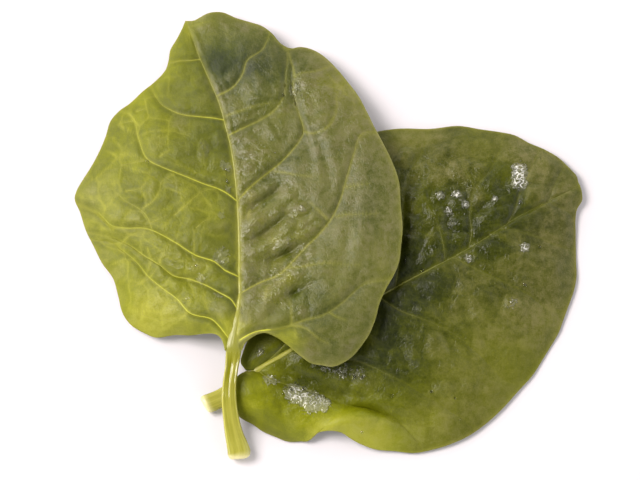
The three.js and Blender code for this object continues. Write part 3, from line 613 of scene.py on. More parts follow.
def nearest_on(lines, xy):
    """Distance in plan to the nearest of some lines (points, strength), and its strength there."""
    tree = plan_tree(np.vstack([points[:, :2] for points, strength in lines]))
    strengths = np.concatenate([strength for points, strength in lines])
    found = [tree.find((x, y, 0)) for x, y in xy]
    return np.array([f[2] for f in found]), strengths[[f[1] for f in found]]


def across_spine(xy, spine):
    """Distance to the midrib in plan, above zero on its right."""
    steps = unit(np.gradient(spine[:, :2], axis=0))
    tree = plan_tree(spine[:, :2])
    own = [tree.find((x, y, 0))[1] for x, y in xy]
    away = xy - spine[own, :2]
    return away[:, 0] * steps[own, 1] - away[:, 1] * steps[own, 0]


SPINE_STEPS, MARGIN_STEPS, TWIG_STEPS = 400, 700, 60  # points along each kind of line


def measure(xy, spine, veins, margins, cell, seed):
    """What each place is near to. Distances are in mm, the rest lies between 0 and 1."""
    near, strong = nearest_on(veins, xy)
    mid, mid_strong = nearest_on([(spine, np.linspace(1, 0.25, SPINE_STEPS))], xy)
    edge, _ = nearest_on([(m, np.ones(MARGIN_STEPS)) for m in margins], xy)
    border, tone, tilt = cells(xy, cell, seed)
    return SimpleNamespace(
        xy=xy, near=near, strong=strong, mid=mid, mid_strong=mid_strong, edge=edge,
        across=across_spine(xy, spine), border=border, tone=tone, tilt=tilt)


print("a midrib is measured at", SPINE_STEPS, "places")

# %% [markdown]
# ## Relief of the skin
# Veins lie in valleys with a shoulder on each side, and the cells between them are plump.
# Everything fades out towards the margin, which stays thin and even. The relief moves points
# up and down only. Displacement in the material could do the same, but it would not be there in
# the mesh for the drops and the veins to sit on.

# %% Relief of a blade
VEIN_VALLEY, VEIN_SHOULDER = 0.45, 0.30  # depth and height in mm, at the strongest vein
MIDRIB_VALLEY, MIDRIB_SHOULDER = 0.45, 0.35
MIDRIB_STEP = 0.4  # a sharper shoulder on the right of the midrib
VALLEY_WIDTH = 0.9


def hill(distance, middle, width):
    """1 at the middle, falling softly to 0 on both sides."""
    return np.exp(-(((distance - middle) / width) ** 2))


def relief(at, look, seed):
    """The rise of the skin in mm at each place, and how much it puckers there."""
    pucker = np.clip(0.2 + dabs(at.xy, look["pucker"]), 0, 1.2) * fade(0.5, 9, at.edge)
    inner = fade(0, 2.5, at.near) * fade(0, 2.0, at.mid)
    inside = fade(1, 5, at.edge)
    rise = look["plump"] * pucker * (fade(0, 0.45 * look["cell"], at.border) - 0.6) * inner
    slope = look["tilt"] * at.tilt * fade(0, 0.3 * look["cell"], at.border)
    rise += slope * inner * fade(1, 8, at.edge)
    rise -= VEIN_VALLEY * at.strong * hill(at.near, 0, VALLEY_WIDTH) * fade(0, 3, at.edge)
    rise += VEIN_SHOULDER * at.strong * hill(at.near, 2.4, 1.3) * inside
    rise -= MIDRIB_VALLEY * at.mid_strong * hill(at.mid, 0, 1.5)
    rise += MIDRIB_SHOULDER * at.mid_strong * hill(at.mid, 3.4, 1.6) * inside
    rise += MIDRIB_STEP * hill(at.across, 1.1, 1.0) * inside
    rise += creased(*at.xy.T, look["dents"]) * inner * fade(0, 4, at.edge)
    grain = 0.15 * noise(at.xy, 4.1, seed + 5) + 0.07 * noise(at.xy, 1.9, seed + 6)
    rise += grain * (0.35 + pucker)
    rise += 0.22 * noise(at.xy, 11, seed + 7) * fade(0, 4, at.edge)
    blisters = wrinkled(at.xy, look["wrinkles"], seed)
    rise += blisters * fade(0.3, 2.5, at.near) * fade(0.5, 2.5, at.mid)
    return rise, pucker


print("a vein's valley is", 2 * VALLEY_WIDTH, "mm across")

# %% [markdown]
# ## What the material will ask for
# Beside its shape, each point keeps a few numbers between 0 and 1, such as how near a vein is, how
# yellow the skin is with painted light and shade added, and how much painted grey sheen lies on
# it. The material reads them as attributes. They follow the blade wherever it bends, where a
# pattern laid on from above would stretch.

# %% Numbers that colour the skin
def skin_fields(at, pucker, look):
    """Each field by its name, with one number for each point of the sheet."""
    right = fade(-0.6, 0.6, at.across)
    panel = (fade(0.42, 0.58, at.tone) - 0.5) * fade(0, 0.3, at.border) * fade(0, 5, at.edge)
    # Painted sheen: where a grey sheen is painted into the colour, most of all over the right
    # half.
    bloom = look["painted_sheen_base"] + dabs(at.xy, look["bloom"]) + look["panels"] * panel
    bloom += look["painted_sheen_right"] * right
    # More painted sheen in the middle of some cells, away from their borders and veins.
    sheen_share = fade(0.4, 1.8, at.border) * fade(0.8, 2.5, at.near) * (0.5 + at.tone)
    bloom += look["sheen_in_cells"] * sheen_share
    # How yellow the skin is, with painted light and shade in the same dabs.
    yellow = look["base"] + dabs(at.xy, look["yellow"]) + 0.3 * look["panels"] * panel
    # Painted shade in a band beside each vein.
    yellow -= look["painted_shade_beside_veins"] * at.strong * hill(at.near, 0.9, 0.7)
    # Painted shade over the right half.
    yellow -= look["painted_shade_right"] * right
    vein = np.maximum(at.strong * hill(at.near, 0, 0.55), at.mid_strong * hill(at.mid, 0, 1.1))
    return {
        "vein": vein,
        "net": hill(at.border, 0, 0.27) * (0.4 + 0.6 * at.tone) * fade(0, 4, at.edge),
        "rim": np.exp(-at.edge / 0.4),
        "bloom": np.clip(bloom, 0, 1),
        "crinkle": np.clip(0.15 + pucker, 0, 1),
        "edge": fade(0, 14, at.edge),
        "yellow": np.clip(yellow, 0, 1),
        "wet": np.clip(dabs(at.xy, look["wet"]), 0, 1),
    }


print("fields ready")

# %% [markdown]
# ## From a sheet to a fleshy blade
# The sheet is given a thickness along its own normals, thinner towards the margin, with small
# ribs below its veins and a rounded edge all round. Solidify could do this too, but its edge is
# square and its thickness even.

# %% Give a sheet its thickness
BLADE_THICKNESS, MARGIN_THICKNESS = 0.9, 0.42
RIB_BELOW = 0.4  # how far a side vein swells on the lower skin
EDGE_BULGE = 0.14  # how far the rounded edge stands out


def point_normals(places, faces):
    """A normal for each point, from the faces round it."""
    normals = np.zeros_like(places)
    for size in (3, 4):
        f = np.array([x for x in faces if len(x) == size])
        if len(f):
            n = np.cross(places[f[:, 2]] - places[f[:, 0]], places[f[:, -1]] - places[f[:, 1]])
            for k in range(size):
                np.add.at(normals, f[:, k], n)
    return unit(normals)


def border_loop(faces):
    """The sheet's border as (from, to) pairs."""
    pairs = {(f[n - 1], k) for f in faces for n, k in enumerate(f)}
    return np.array(sorted(p for p in pairs if (p[1], p[0]) not in pairs))


def thicken(sheet, faces, edge, ridge):
    """Upper skin, lower skin, rounded edge, the border's points, and the faces of the body."""
    normals = point_normals(sheet, faces)
    half = MARGIN_THICKNESS + (BLADE_THICKNESS - MARGIN_THICKNESS) * fade(0, 4, edge)
    half = (half / 2)[:, None]
    top = sheet + normals * half
    bottom = sheet - normals * (half + RIB_BELOW * (ridge * fade(0, 6, edge))[:, None])
    bottom[:, 2] = np.maximum(bottom[:, 2], 0)
    top[:, 2] = np.maximum(top[:, 2], bottom[:, 2] + 0.3 * half[:, 0])
    loop = border_loop(faces)
    out = np.zeros_like(sheet)
    side = np.cross(sheet[loop[:, 1]] - sheet[loop[:, 0]], normals[loop[:, 0]])
    np.add.at(out, loop[:, 0], side)
    np.add.at(out, loop[:, 1], side)
    ring = np.unique(loop)
    rounded = (top[ring] + bottom[ring]) / 2 + unit(out[ring]) * EDGE_BULGE
    count = len(sheet)
    middle = np.full(count, -1)
    middle[ring] = 2 * count + np.arange(len(ring))
    body = [*faces, *[[k + count for k in reversed(f)] for f in faces]]
    for a, b in loop.tolist():
        body.append([b, a, int(middle[a]), int(middle[b])])
        body.append([int(middle[b]), int(middle[a]), a + count, b + count])
    return top, bottom, rounded, ring, body


print("blades are", BLADE_THICKNESS, "mm thick")

# %% [markdown]
# ## One blade, all together
# A blade keeps its two skins as search trees too. A ray sent down or up through them tells how
# high the skin is at any place, which the stalks and the raised veins need. Blender's own
# modifiers could pull them onto the skin, but then nothing could be worked out from the height.

# %% The blade
def make_object(name, places, faces, materials, smooth=True):
    """A new object in the scene, from places in mm."""
    mesh = bpy.data.meshes.new(name)
    mesh.from_pydata((np.asarray(places) * MM).tolist(), [], faces)
    mesh.validate()
    mesh.shade_smooth() if smooth else mesh.shade_flat()
    for m in materials:
        mesh.materials.append(m)
    piece = bpy.data.objects.new(name, mesh)
    bpy.context.scene.collection.objects.link(piece)
    return piece


def give(piece, **values):
    """Stores numbers on the points of a piece, for its material to read."""
    for name, numbers in values.items():
        layer = piece.data.attributes.new(name, "FLOAT", "POINT")
        layer.data.foreach_set("value", np.asarray(numbers, np.float32))


def skin_height(skin, xy, start, way):
    """Where an upright ray first meets a skin, or nan where there is none."""
    hits = [skin.ray_cast(Vector((x, y, start)), Vector((0, 0, way)))[0] for x, y in xy]
    return np.array([h.z if h else np.nan for h in hits])


class Blade:
    """A leaf blade: its body, its veins and the fields its skin is coloured by."""

    def __init__(self, midrib, margins, veins, lobes, creases, twigs, look, seed):
        margins = [Line(margin) for margin in margins]
        halves, self.side_veins = [], []
        for margin, side, lobe in zip(margins, veins, lobes):
            grid, lines = half_blade(midrib, margin, side, lobe, creases)
            halves.append(grid)
            self.side_veins += [points for row, edge, points in lines[:-1]]
        sheet, faces = blade_sheet(*halves)
        self.midrib = midrib
        self.twigs = [Line(twig).spread(TWIG_STEPS) for twig in twigs]
        spine = midrib.spread(SPINE_STEPS)
        shows = [show for side in look["shows"] for show in side]
        rights = [across_spine(twig[:, :2], spine).mean() > 0 for twig in self.twigs]
        self.shows = shows + [(1.0, look["twigs"][int(right)]) for right in rights]
        drawn = [(points, (0.45 + 0.55 * strong) * (1 - 0.7 * ACROSS))
                 for points, (reach, strong) in zip(self.side_veins, shows)]
        drawn += [(twig, np.linspace(0.45, 0.15, TWIG_STEPS)) for twig in self.twigs]
        edges = [margin.spread(MARGIN_STEPS) for margin in margins]
        at = measure(sheet[:, :2].copy(), spine, drawn, edges, look["cell"], seed)
        rise, pucker = relief(at, look, seed)
        sheet[:, 2] += rise
        ridge = at.strong * hill(at.near, 0, VALLEY_WIDTH)
        top, bottom, rounded, ring, self.faces = thicken(sheet, faces, at.edge, ridge)
        self.places = np.vstack([top, bottom, rounded])
        self.top = BVHTree.FromPolygons(top.tolist(), faces)
        self.bottom = BVHTree.FromPolygons(bottom.tolist(), [list(reversed(f)) for f in faces])
        fields = skin_fields(at, pucker, look)
        self.fields = {k: np.concatenate([f, f, f[ring]]) for k, f in fields.items()}
        self.fields["under"] = np.repeat([0, 1, 0.3], [len(top), len(bottom), len(rounded)])
        self.fields["wet"][len(top):] = 0  # water stays on the upper skin

    def over(self, xy):
        """Height of the upper skin at places in plan."""
        return skin_height(self.top, xy, 60, -1)

    def below(self, xy):
        """Height of the lower skin at places in plan."""
        return skin_height(self.bottom, xy, -30, 1)

    def piece(self, name, material):
        """The blade as an object that carries its fields."""
        made = make_object(name, self.places, self.faces, [material])
        give(made, **self.fields)
        print(name, len(self.faces), "faces")
        return made


print("blade ready")

# %% [markdown]
# ## A small kit for node trees
# Blender's materials and Geometry Nodes are both made of nodes with sockets. Adding them by
# hand in a script is long, so one class wraps a socket and lets it stand in a Python sum, and
# another adds any node from its type, its settings and what goes into its sockets.

# %% Sockets that can be added and multiplied
class Value:
    """A node's output. Sums, products and comparisons with it add the Math nodes they need."""

    def __init__(self, tree, socket):
        self.tree, self.socket = tree, socket

    def math(self, operation, a, b):
        return self.tree.node("ShaderNodeMath", {"operation": operation}, {0: a, 1: b})

    def __add__(self, other):
        return self.math("ADD", self, other)

    def __sub__(self, other):
        return self.math("SUBTRACT", self, other)

    def __rsub__(self, other):
        return self.math("SUBTRACT", other, self)

    def __mul__(self, other):
        return self.math("MULTIPLY", self, other)

    def __gt__(self, other):
        return self.math("GREATER_THAN", self, other)

    def __lt__(self, other):
        return self.math("LESS_THAN", self, other)

    def __abs__(self):
        return self.math("ABSOLUTE", self, 0)

    __radd__, __rmul__ = __add__, __mul__

    def other(self, name):
        """Another output of the same node."""
        return Value(self.tree, self.socket.node.outputs[name])


print("sockets ready")

# %% [markdown]
# Its other methods are short names for the nodes that come up again and again: an attribute,
# noise, a soft step, a mix of two colours.

# %% Nodes from their type, settings and sockets
class Tree:
    """A node tree that nodes are added to from their type, settings and sockets."""

    def __init__(self, tree):
        self.tree = tree

    def node(self, kind, settings=None, sockets=None, output=0):
        """Adds a node. Sockets are found by number, identifier or name, and take any value."""
        made = self.tree.nodes.new(kind)
        for name, setting in (settings or {}).items():
            if name == "stops":
                for _ in setting[2:]:
                    made.color_ramp.elements.new(0.5)
                for stop, (place, color) in zip(made.color_ramp.elements, setting):
                    stop.position, stop.color = place, color
            else:
                setattr(made, name, setting)
        for key, value in (sockets or {}).items():
            by_name = (s for s in made.inputs if key in (s.identifier, s.name))
            socket = made.inputs[key] if isinstance(key, int) else next(by_name)
            if isinstance(value, Value):
                self.tree.links.new(value.socket, socket)
            else:
                socket.default_value = value
        return Value(self, made.outputs[output]) if made.outputs else made

    def attribute(self, name):
        return self.node("ShaderNodeAttribute", {"attribute_name": name}, output="Fac")

    def named(self, name):
        """The same number in Geometry Nodes."""
        return self.node("GeometryNodeInputNamedAttribute", {}, {"Name": name})

    def place(self):
        """Object coordinates, in millimetres, so that pattern sizes read as real sizes."""
        spot = self.node("ShaderNodeTexCoord", output="Object")
        return self.node("ShaderNodeMapping", {}, {"Vector": spot, "Scale": (1000, 1000, 1000)})

    def lumps(self, place, size, detail=2.0, roughness=0.5):
        """Soft noise around 0.5, in lumps of about the given size in millimetres."""
        sockets = {"Vector": place, "Scale": 1 / size, "Detail": detail, "Roughness": roughness}
        return self.node("ShaderNodeTexNoise", {}, sockets)

    def cracks(self, place, size):
        """Distance to the borders of irregular cells of the given size."""
        sockets = {"Vector": place, "Scale": 1 / size}
        return self.node("ShaderNodeTexVoronoi", {"feature": "DISTANCE_TO_EDGE"}, sockets)

    def step(self, value, low, high):
        """0 below low, 1 above high, and a soft step between them."""
        sockets = {"Value": value, "From Min": low, "From Max": high}
        return self.node("ShaderNodeMapRange", {"interpolation_type": "SMOOTHSTEP"}, sockets)

    def mix(self, share, a, b):
        sockets = {"Factor_Float": share, "A_Color": a, "B_Color": b}
        return self.node("ShaderNodeMix", {"data_type": "RGBA"}, sockets, output=2)

    def ramp(self, share, stops):
        return self.node("ShaderNodeValToRGB", {"stops": stops}, {"Fac": share})

    def bump(self, strength, depth, height):
        """A leaning normal, as if the surface rose by the height, up to a depth in millimetres."""
        sockets = {"Strength": strength, "Distance": depth * MM, "Height": height}
        return self.node("ShaderNodeBump", {}, sockets)

    def principled(self, sockets):
        return self.node("ShaderNodeBsdfPrincipled", {}, sockets)

    def mix_shader(self, share, a, b):
        return self.node("ShaderNodeMixShader", {}, {0: share, 1: a, 2: b})


def material(name):
    made = bpy.data.materials.new(name)
    made.use_nodes = True
    made.node_tree.nodes.clear()
    return made, Tree(made.node_tree)


def surface(tree, shader):
    """Makes a shader the surface of its material."""
    tree.node("ShaderNodeOutputMaterial", {}, {"Surface": shader})


print("node kit ready")

# %% [markdown]
# ## Colours of the two leaves
# The green of a leaf lies under a clear waxy skin. Young tissue near the margin is thin and
# yellow, and light passes through it. So each leaf has a row of greens, from its darkest to its
# most yellow, with a tint for light that comes through and two greys for a painted sheen. The rest
# of the finish is how rough, how glossy and how deeply grained the skin is.

# %% Colours and finish
def srgb(r, g, b):
    """A colour picked on a screen, as the linear numbers a shader wants."""
    return (*(round(((c / 255 + 0.055) / 1.055) ** 2.4, 4) for c in (r, g, b)), 1)


VEIN_GREEN, NET_GREEN, RIM_GREEN = srgb(172, 170, 66), srgb(192, 190, 70), srgb(156, 154, 66)
UNDER_GREEN, UNDER_VEIN_GREEN = srgb(134, 140, 84), srgb(174, 176, 114)
# A painted reflection of a water film and painted white glints, mixed into the skin's colour where
# it is wet.
PAINTED_FILM_SHEEN, PAINTED_GLINT_WHITE = srgb(182, 180, 164), srgb(236, 236, 226)
# The two greys of each finish are a painted sheen, mixed into the colour where the sheen map says.
FRONT_FINISH = {
    "greens": [(0.0, srgb(22, 31, 0)), (0.16, srgb(42, 51, 0)), (0.34, srgb(68, 75, 0)),
               (0.54, srgb(94, 99, 1)), (0.74, srgb(123, 127, 8)), (1.0, srgb(162, 161, 50))],
    "through": srgb(176, 180, 16), "vein": VEIN_GREEN, "painted_grey_sheen": srgb(110, 103, 82),
    "pale_painted_grey_sheen": srgb(168, 165, 92), "sheen_share": 0.50, "rough": 0.42, "dull": 0.27, "gloss": 0.31,
    "depth": 0.8, "net": 0.32, "shine": 0.45}
BACK_FINISH = {
    "greens": [(0.0, srgb(20, 27, 0)), (0.16, srgb(44, 50, 0)), (0.34, srgb(71, 76, 0)),
               (0.54, srgb(94, 99, 1)), (0.74, srgb(122, 127, 8)), (1.0, srgb(160, 161, 44))],
    "through": srgb(140, 158, 16), "vein": srgb(112, 116, 26), "painted_grey_sheen": srgb(118, 111, 76),
    "pale_painted_grey_sheen": srgb(130, 128, 88), "sheen_share": 0.52, "rough": 0.49, "dull": 0.0, "gloss": 0.22,
    "depth": 0.75, "net": 0.0, "shine": 1.0}
print(len(FRONT_FINISH["greens"]), "greens for each leaf")

# %% [markdown]
# ## Leaf skin
# The finish is a satin shine over a colour that changes slowly. The dabs give that slow change,
# some of it painted light and shade. Noise and the net of fine veins break it up, and each vein
# carries a paler band. A painted grey sheen covers the skin in parts, and skin without it is
# rougher. Wet places are a second, shiny shader with a ragged border. It is mixed in, because one
# roughness for both would leave the water's edge blurred. A painted grey reflection of the water
# and short painted white glints go into the colour there. A little Translucent BSDF lets light
# through. Subsurface scattering could do that too, but on a sheet under 1 mm thick it costs much
# and shows little.

# %% Leaf material
FIELDS = ("vein", "net", "rim", "yellow", "wet", "under", "bloom", "edge", "crinkle")


def dry_color(t, look, at, broad, small, grain, mesh):
    """Greens under a painted grey sheen, with the net, the veins, the rim and the paler underside.
    """
    share = at.yellow + 0.26 * (broad - 0.5) + 0.32 * (small - 0.5) + 0.26 * (grain - 0.5)
    share = share - 0.05 * at.net * (1 - at.yellow) + 0.04 * mesh * at.edge
    color = t.ramp(share, look["greens"])
    # Painted grey sheen: where the sheen map says, a grey is mixed into the colour, paler over
    # yellow skin.
    patchy = 0.35 + 0.75 * t.step(small + 0.45 * (grain - 0.5), 0.32, 0.68)
    painted_grey_sheen = at.bloom * look["sheen_share"] * patchy * (0.35 + 0.65 * t.step(share, 0.12, 0.45))
    pale = t.mix(t.step(at.yellow, 0.54, 0.74), look["painted_grey_sheen"], look["pale_painted_grey_sheen"])
    color = t.mix(painted_grey_sheen, color, pale)
    color = t.mix(look["net"] * at.net * t.step(at.yellow, 0.40, 0.70), color, NET_GREEN)
    color = t.mix(0.45 * at.vein, color, look["vein"])
    color = t.mix(0.4 * at.rim, color, RIM_GREEN)
    below = t.mix(0.8 * at.vein, UNDER_GREEN, UNDER_VEIN_GREEN)
    return t.mix(0.7 * at.under, color, below)


def wetted(t, look, at, spot, color):
    """Where a film of water lies, and the colour with a painted grey reflection of the film and
    painted white glints on it.
    """
    ragged = 0.6 * t.lumps(spot, 2.6, 2) + 0.9 * t.lumps(spot, 0.8, 1)
    film = look["shine"] * t.step(at.wet + ragged - 0.75, 0.50, 0.62)
    # Painted reflection: the film greys the colour of the skin under it.
    color = t.mix(film * (0.02 + 0.38 * at.yellow), color, PAINTED_FILM_SHEEN)
    # Painted glints: short white crests in the colour of the film.
    crest = 1 - 9 * abs(t.lumps(spot, 1.5, 1) - 0.5)
    glint = t.step(film * crest, 0.45, 0.75) * t.step(at.wet, 0.75, 1.0)
    return film, t.mix(glint * (1 - 1.35 * at.yellow), color, PAINTED_GLINT_WHITE)


def leaf_skin(name, look):
    """A leaf's material: dry skin, the film of water over it and light that comes through."""
    made, t = material(name)
    spot = t.place()
    at = SimpleNamespace(**{field: t.attribute(field) for field in FIELDS})
    broad, small = t.lumps(spot, 9, 4, 0.55), t.lumps(spot, 2.2, 4, 0.65)
    grain = t.lumps(spot, 0.42, 2, 0.7)
    mesh = 1 - t.step(t.cracks(spot, 1.5), 0, 0.12)
    color = dry_color(t, look, at, broad, small, grain, mesh)
    film, color = wetted(t, look, at, spot, color)
    rough = look["rough"] + look["dull"] * (1 - at.bloom) - 0.24 * at.crinkle + 0.12 * at.under
    rough = rough + 0.30 * (small - 0.5) + 0.24 * (grain - 0.5)
    blister = abs(t.lumps(spot, 1.7, 2) - 0.5) * at.crinkle
    ripple = film * t.lumps(spot, 1.15, 1) * (4.4 - 3.2 * at.yellow)
    height = 0.18 * grain + 0.35 * small + 1.6 * blister - 0.08 * mesh + ripple
    bump = t.bump(look["depth"], 0.5, height)
    dry, shiny = (t.principled({"Base Color": color, "Roughness": roughness, "Normal": bump,
                                "Specular IOR Level": gloss})
                  for roughness, gloss in ((rough, look["gloss"]), (0.10, 0.8)))
    light = t.node("ShaderNodeBsdfTranslucent", {}, {"Color": look["through"]})
    skin = t.mix_shader(film, dry, shiny)
    surface(t, t.mix_shader(0.08 + 0.24 * at.yellow, skin, light))
    return made


front_skin = leaf_skin("front_leaf_skin", FRONT_FINISH)
back_skin = leaf_skin("back_leaf_skin", BACK_FINISH)
print(len(front_skin.node_tree.nodes), "nodes in a leaf skin")

# %% [markdown]
# ## Stalk skin, veins and water
# A stalk is pale and juicy, with fine streaks along it. Its UV map runs round it and along it,
# so the streaks follow its bends. The raised veins are paler than the skin and turn darker to
# where they die out. Water is a clear, smooth shader that bends light as water does.

# %% Stalk, vein and water materials
STALK_GREEN, STALK_PALE, CUT_PALE = srgb(110, 110, 8), srgb(162, 159, 72), srgb(196, 190, 140)
DULL_RIB = srgb(92, 96, 30)


def stalk_skin():
    """The stalks' material, which turns into a vein's colour where the rib begins."""
    made, t = material("stalk_skin")
    spot = t.place()
    lay = t.node("ShaderNodeUVMap", {"uv_map": "round_and_along"})
    stretched = t.node("ShaderNodeMapping", {}, {"Vector": lay, "Scale": (34, 0.09, 1)})
    streaks = t.lumps(stretched, 1, 3)
    flecks, broad = t.lumps(spot, 1.1, 2), t.lumps(spot, 9, 2)
    rib, cut = t.attribute("rib"), t.attribute("cut")
    share = t.step(streaks + 0.5 * (broad - 0.5) + 0.12 * (flecks - 0.5), 0.34, 0.70)
    color = t.mix(0.35 * share + 0.5 * t.attribute("pale"), STALK_GREEN, STALK_PALE)
    # The fine ridges are painted paler, partly their own paler colour and partly a painted
    # highlight along each.
    color = t.mix(t.attribute("ridge"), color, STALK_PALE)
    color = t.mix(rib, color, t.mix(t.attribute("glow"), DULL_RIB, VEIN_GREEN))
    color = t.mix(cut, color, CUT_PALE)
    height = 0.5 * streaks + 0.2 * flecks + 0.6 * cut * t.lumps(spot, 0.45, 2)
    surface(t, t.principled({
        "Base Color": color, "Roughness": 0.10 + 0.12 * streaks + 0.2 * (cut + rib),
        "Normal": t.bump(0.4, 0.4, height), "Specular IOR Level": 0.5,
        "Subsurface Weight": 0.22, "Subsurface Radius": (0.9, 0.8, 0.3),
        "Subsurface Scale": 0.002}))
    return made


def vein_skin(name, base, end):
    """A vein's skin, from its colour at the midrib to the colour where it dies out."""
    made, t = material(name)
    spot = t.place()
    share = t.step(t.attribute("glow") + 0.3 * (t.lumps(spot, 2.2, 2) - 0.5), 0.0, 1.0)
    surface(t, t.principled({
        "Base Color": t.mix(share, end, base), "Roughness": 0.42 - 0.12 * share,
        "Normal": t.bump(0.3, 0.2, t.lumps(spot, 0.4, 2)), "Specular IOR Level": 0.2}))
    return made


def water():
    """Clear water."""
    made, t = material("water_drops")
    surface(t, t.principled({
        "Base Color": (1, 1, 1, 1), "Roughness": 0.02, "IOR": 1.33, "Transmission Weight": 1.0,
        "Specular IOR Level": 1.0}))
    return made


stalk_material, water_material = stalk_skin(), water()
front_veins = vein_skin("front_leaf_veins", srgb(174, 176, 56), srgb(114, 114, 46))
back_veins = vein_skin("back_leaf_veins", srgb(122, 126, 36), srgb(76, 78, 38))
print([m.name for m in bpy.data.materials if m.use_nodes])

# %% [markdown]
# ## Small veins and dents
# Between the side veins run smaller ones. They are drawn in plan, from where each branches off,
# because the clearest of them give a leaf its character. A dent is a short crease in the skin,
# given in the same way as the creases of the whole blade.

# %% Small veins
FRONT_TWIGS = [
    [(-52.5, -1), (-53.5, 2), (-55, 4.5), (-57.5, 6.5), (-60, 8), (-62, 9.5), (-64, 12),
     (-64.5, 14.5)],
    [(-40, -8.5), (-40, -5), (-40, -1)],
    [(-41, -25.5), (-43, -26.5), (-45.5, -27), (-48.5, -27.5), (-50.5, -27.5)],
    [(-45, -21.5), (-43.5, -19.5), (-43, -18)],
    [(-53, -14.5), (-51.5, -12.5), (-50.5, -11)],
    [(-53, -14.5), (-55.5, -16), (-57.5, -16.5), (-59.5, -17)],
    [(-62.5, -3.5), (-65.5, -3.5), (-67.5, -3), (-70, -1)],
    [(-54, 21), (-58, 20.5), (-62, 20)],
    [(-59, 34), (-63, 33.5)],
    [(-58, 37), (-55.5, 37.5)],
    [(-50.5, 22), (-48, 24)],
    [(-10, 47), (-10.5, 50), (-11.5, 53), (-12, 55), (-13.5, 56.5)],
    [(-7.5, 30), (-5, 29), (-2.5, 29.5), (0, 31), (1.5, 33.5), (2.5, 36.5), (2.5, 40), (2.5, 42)],
    [(-16, 17.5), (-13, 17), (-9.5, 16), (-5.5, 15.5)],
    [(-11.5, -12.5), (-8.5, -12.5), (-5.5, -12), (-2, -11.5), (2, -11.5), (6.5, -12), (9.5, -12)],
    [(2.5, 3), (5, 3.5), (8, 3.5), (12.5, 3.5), (15.5, 4)],
    [(4.5, 12), (8, 12.5), (12.5, 13)],
    [(0, -26), (2, -27.5), (5, -28.5)],
    [(-11, -30), (-7, -31), (-3, -34), (0, -35.5)],
    [(-11, -29.5), (-11, -26), (-11.5, -23)],
    [(-31, 35), (-26.5, 36.5), (-22, 38), (-17.5, 39)],
    [(-55.5, 6), (-52.5, 8), (-50.5, 11.5), (-50, 14), (-46.5, 16.5)],
    [(-60.5, 11.5), (-57, 12), (-54.5, 13.5)],
    [(-53, 1.5), (-50.5, 2.5), (-48, 3.5)],
    [(-46, 3.5), (-42, 7), (-39.5, 9.5), (-36.5, 11.5), (-33.5, 11.5)],
    [(-39.5, -0.5), (-36.5, 2), (-33.5, 2.5)],
    [(-62.5, -4), (-58.5, -1.5), (-52, -1.5)],
    [(-50.5, -11), (-49.5, -8.5), (-46.5, -7.5)],
    [(-54, -6), (-53, -9), (-53, -12)],
    [(-50.5, -27.5), (-53, -26.5), (-55.5, -25.5)],
    [(-55.5, -25.5), (-55, -22), (-53, -21)],
    [(-0.5, 2.5), (-3, 5), (-5.5, 7.5)],
]
BACK_TWIGS = [
    [(43.5, 14.5), (42, 17.5), (40.5, 20.5), (39.5, 25), (41, 27.5)],
    [(35, -9), (34, -2.5), (32, 3.5), (29.5, 8), (27.5, 12)],
]
print(len(FRONT_TWIGS + BACK_TWIGS), "small veins")

# %% [markdown]
# The dents beside the midrib of the front leaf are the deepest. Each side vein also says how
# far along it can be seen, as a share of its length, and how strongly.

# %% Dents, and how the side veins show
FRONT_DENTS = [
    (-16.5, 0.7, 5, 1.2, 36, 1.3), (-13.5, -8, 7, 1.3, 24, 1.5), (-19, 8.7, 5, 1.1, 38, 1.3),
    (-9.5, -20, 5, 1.4, 30, 1.3), (-24, 4, 3, 1.2, 60, 0.5), (-26, 19.5, 3, 1.4, 50, 0.5),
    (-30, 42.5, 3, 2, 0, 0.5), (-34, 12, 3, 1.5, -40, 0.4), (-44, 34, 4, 1.6, 10, 0.5),
    (-22, 36, 5, 1.4, 20, 0.4), (-48, -20, 5, 1.6, -35, 0.5), (-33, -10, 6, 1.3, -35, 0.5),
    (-8, 8, 4, 1.2, 40, 0.35), (-17, -27, 4, 1.4, 30, 0.5),
]
BACK_DENTS = [
    (30, 10, 4, 1.5, 60, 0.6), (40, 12, 4, 1.4, 30, 0.5), (24, -8, 5, 1.5, -30, 0.6),
    (46, -14, 5, 1.6, -20, 0.6), (34, -32, 6, 1.8, -30, 0.6), (16, -44, 6, 1.6, -25, 0.6),
    (4, -50, 5, 1.4, 60, 0.5), (-12, -54, 6, 1.6, -30, 0.5), (56, -28, 6, 1.8, -30, 0.4),
]
FRONT_SHOWS = ([(0.85, 1.0), (0.8, 0.9), (0.9, 1.0), (0.9, 0.9), (0.9, 0.7), (1.0, 0.4)],
               [(0.5, 0.4), (1.0, 0.35), (0.6, 0.4), (0.32, 0.4), (1.0, 0.25)])
BACK_SHOWS = ([(0.25, 0.8), (0.6, 0.2), (0.6, 0.2), (0.8, 0.25), (0.6, 0.2), (0.6, 0.2)],
              [(0.35, 0.7), (0.5, 0.3), (0.6, 0.25), (0.6, 0.25), (0.6, 0.2), (0.6, 0.2)])
print(len(FRONT_DENTS + BACK_DENTS), "dents")

# %% [markdown]
# ## The two blades
# Each blade is built from its lines and its look, and then takes the place of its plain CAD node.
# The whole body is made at once, so there is no seam to hide.

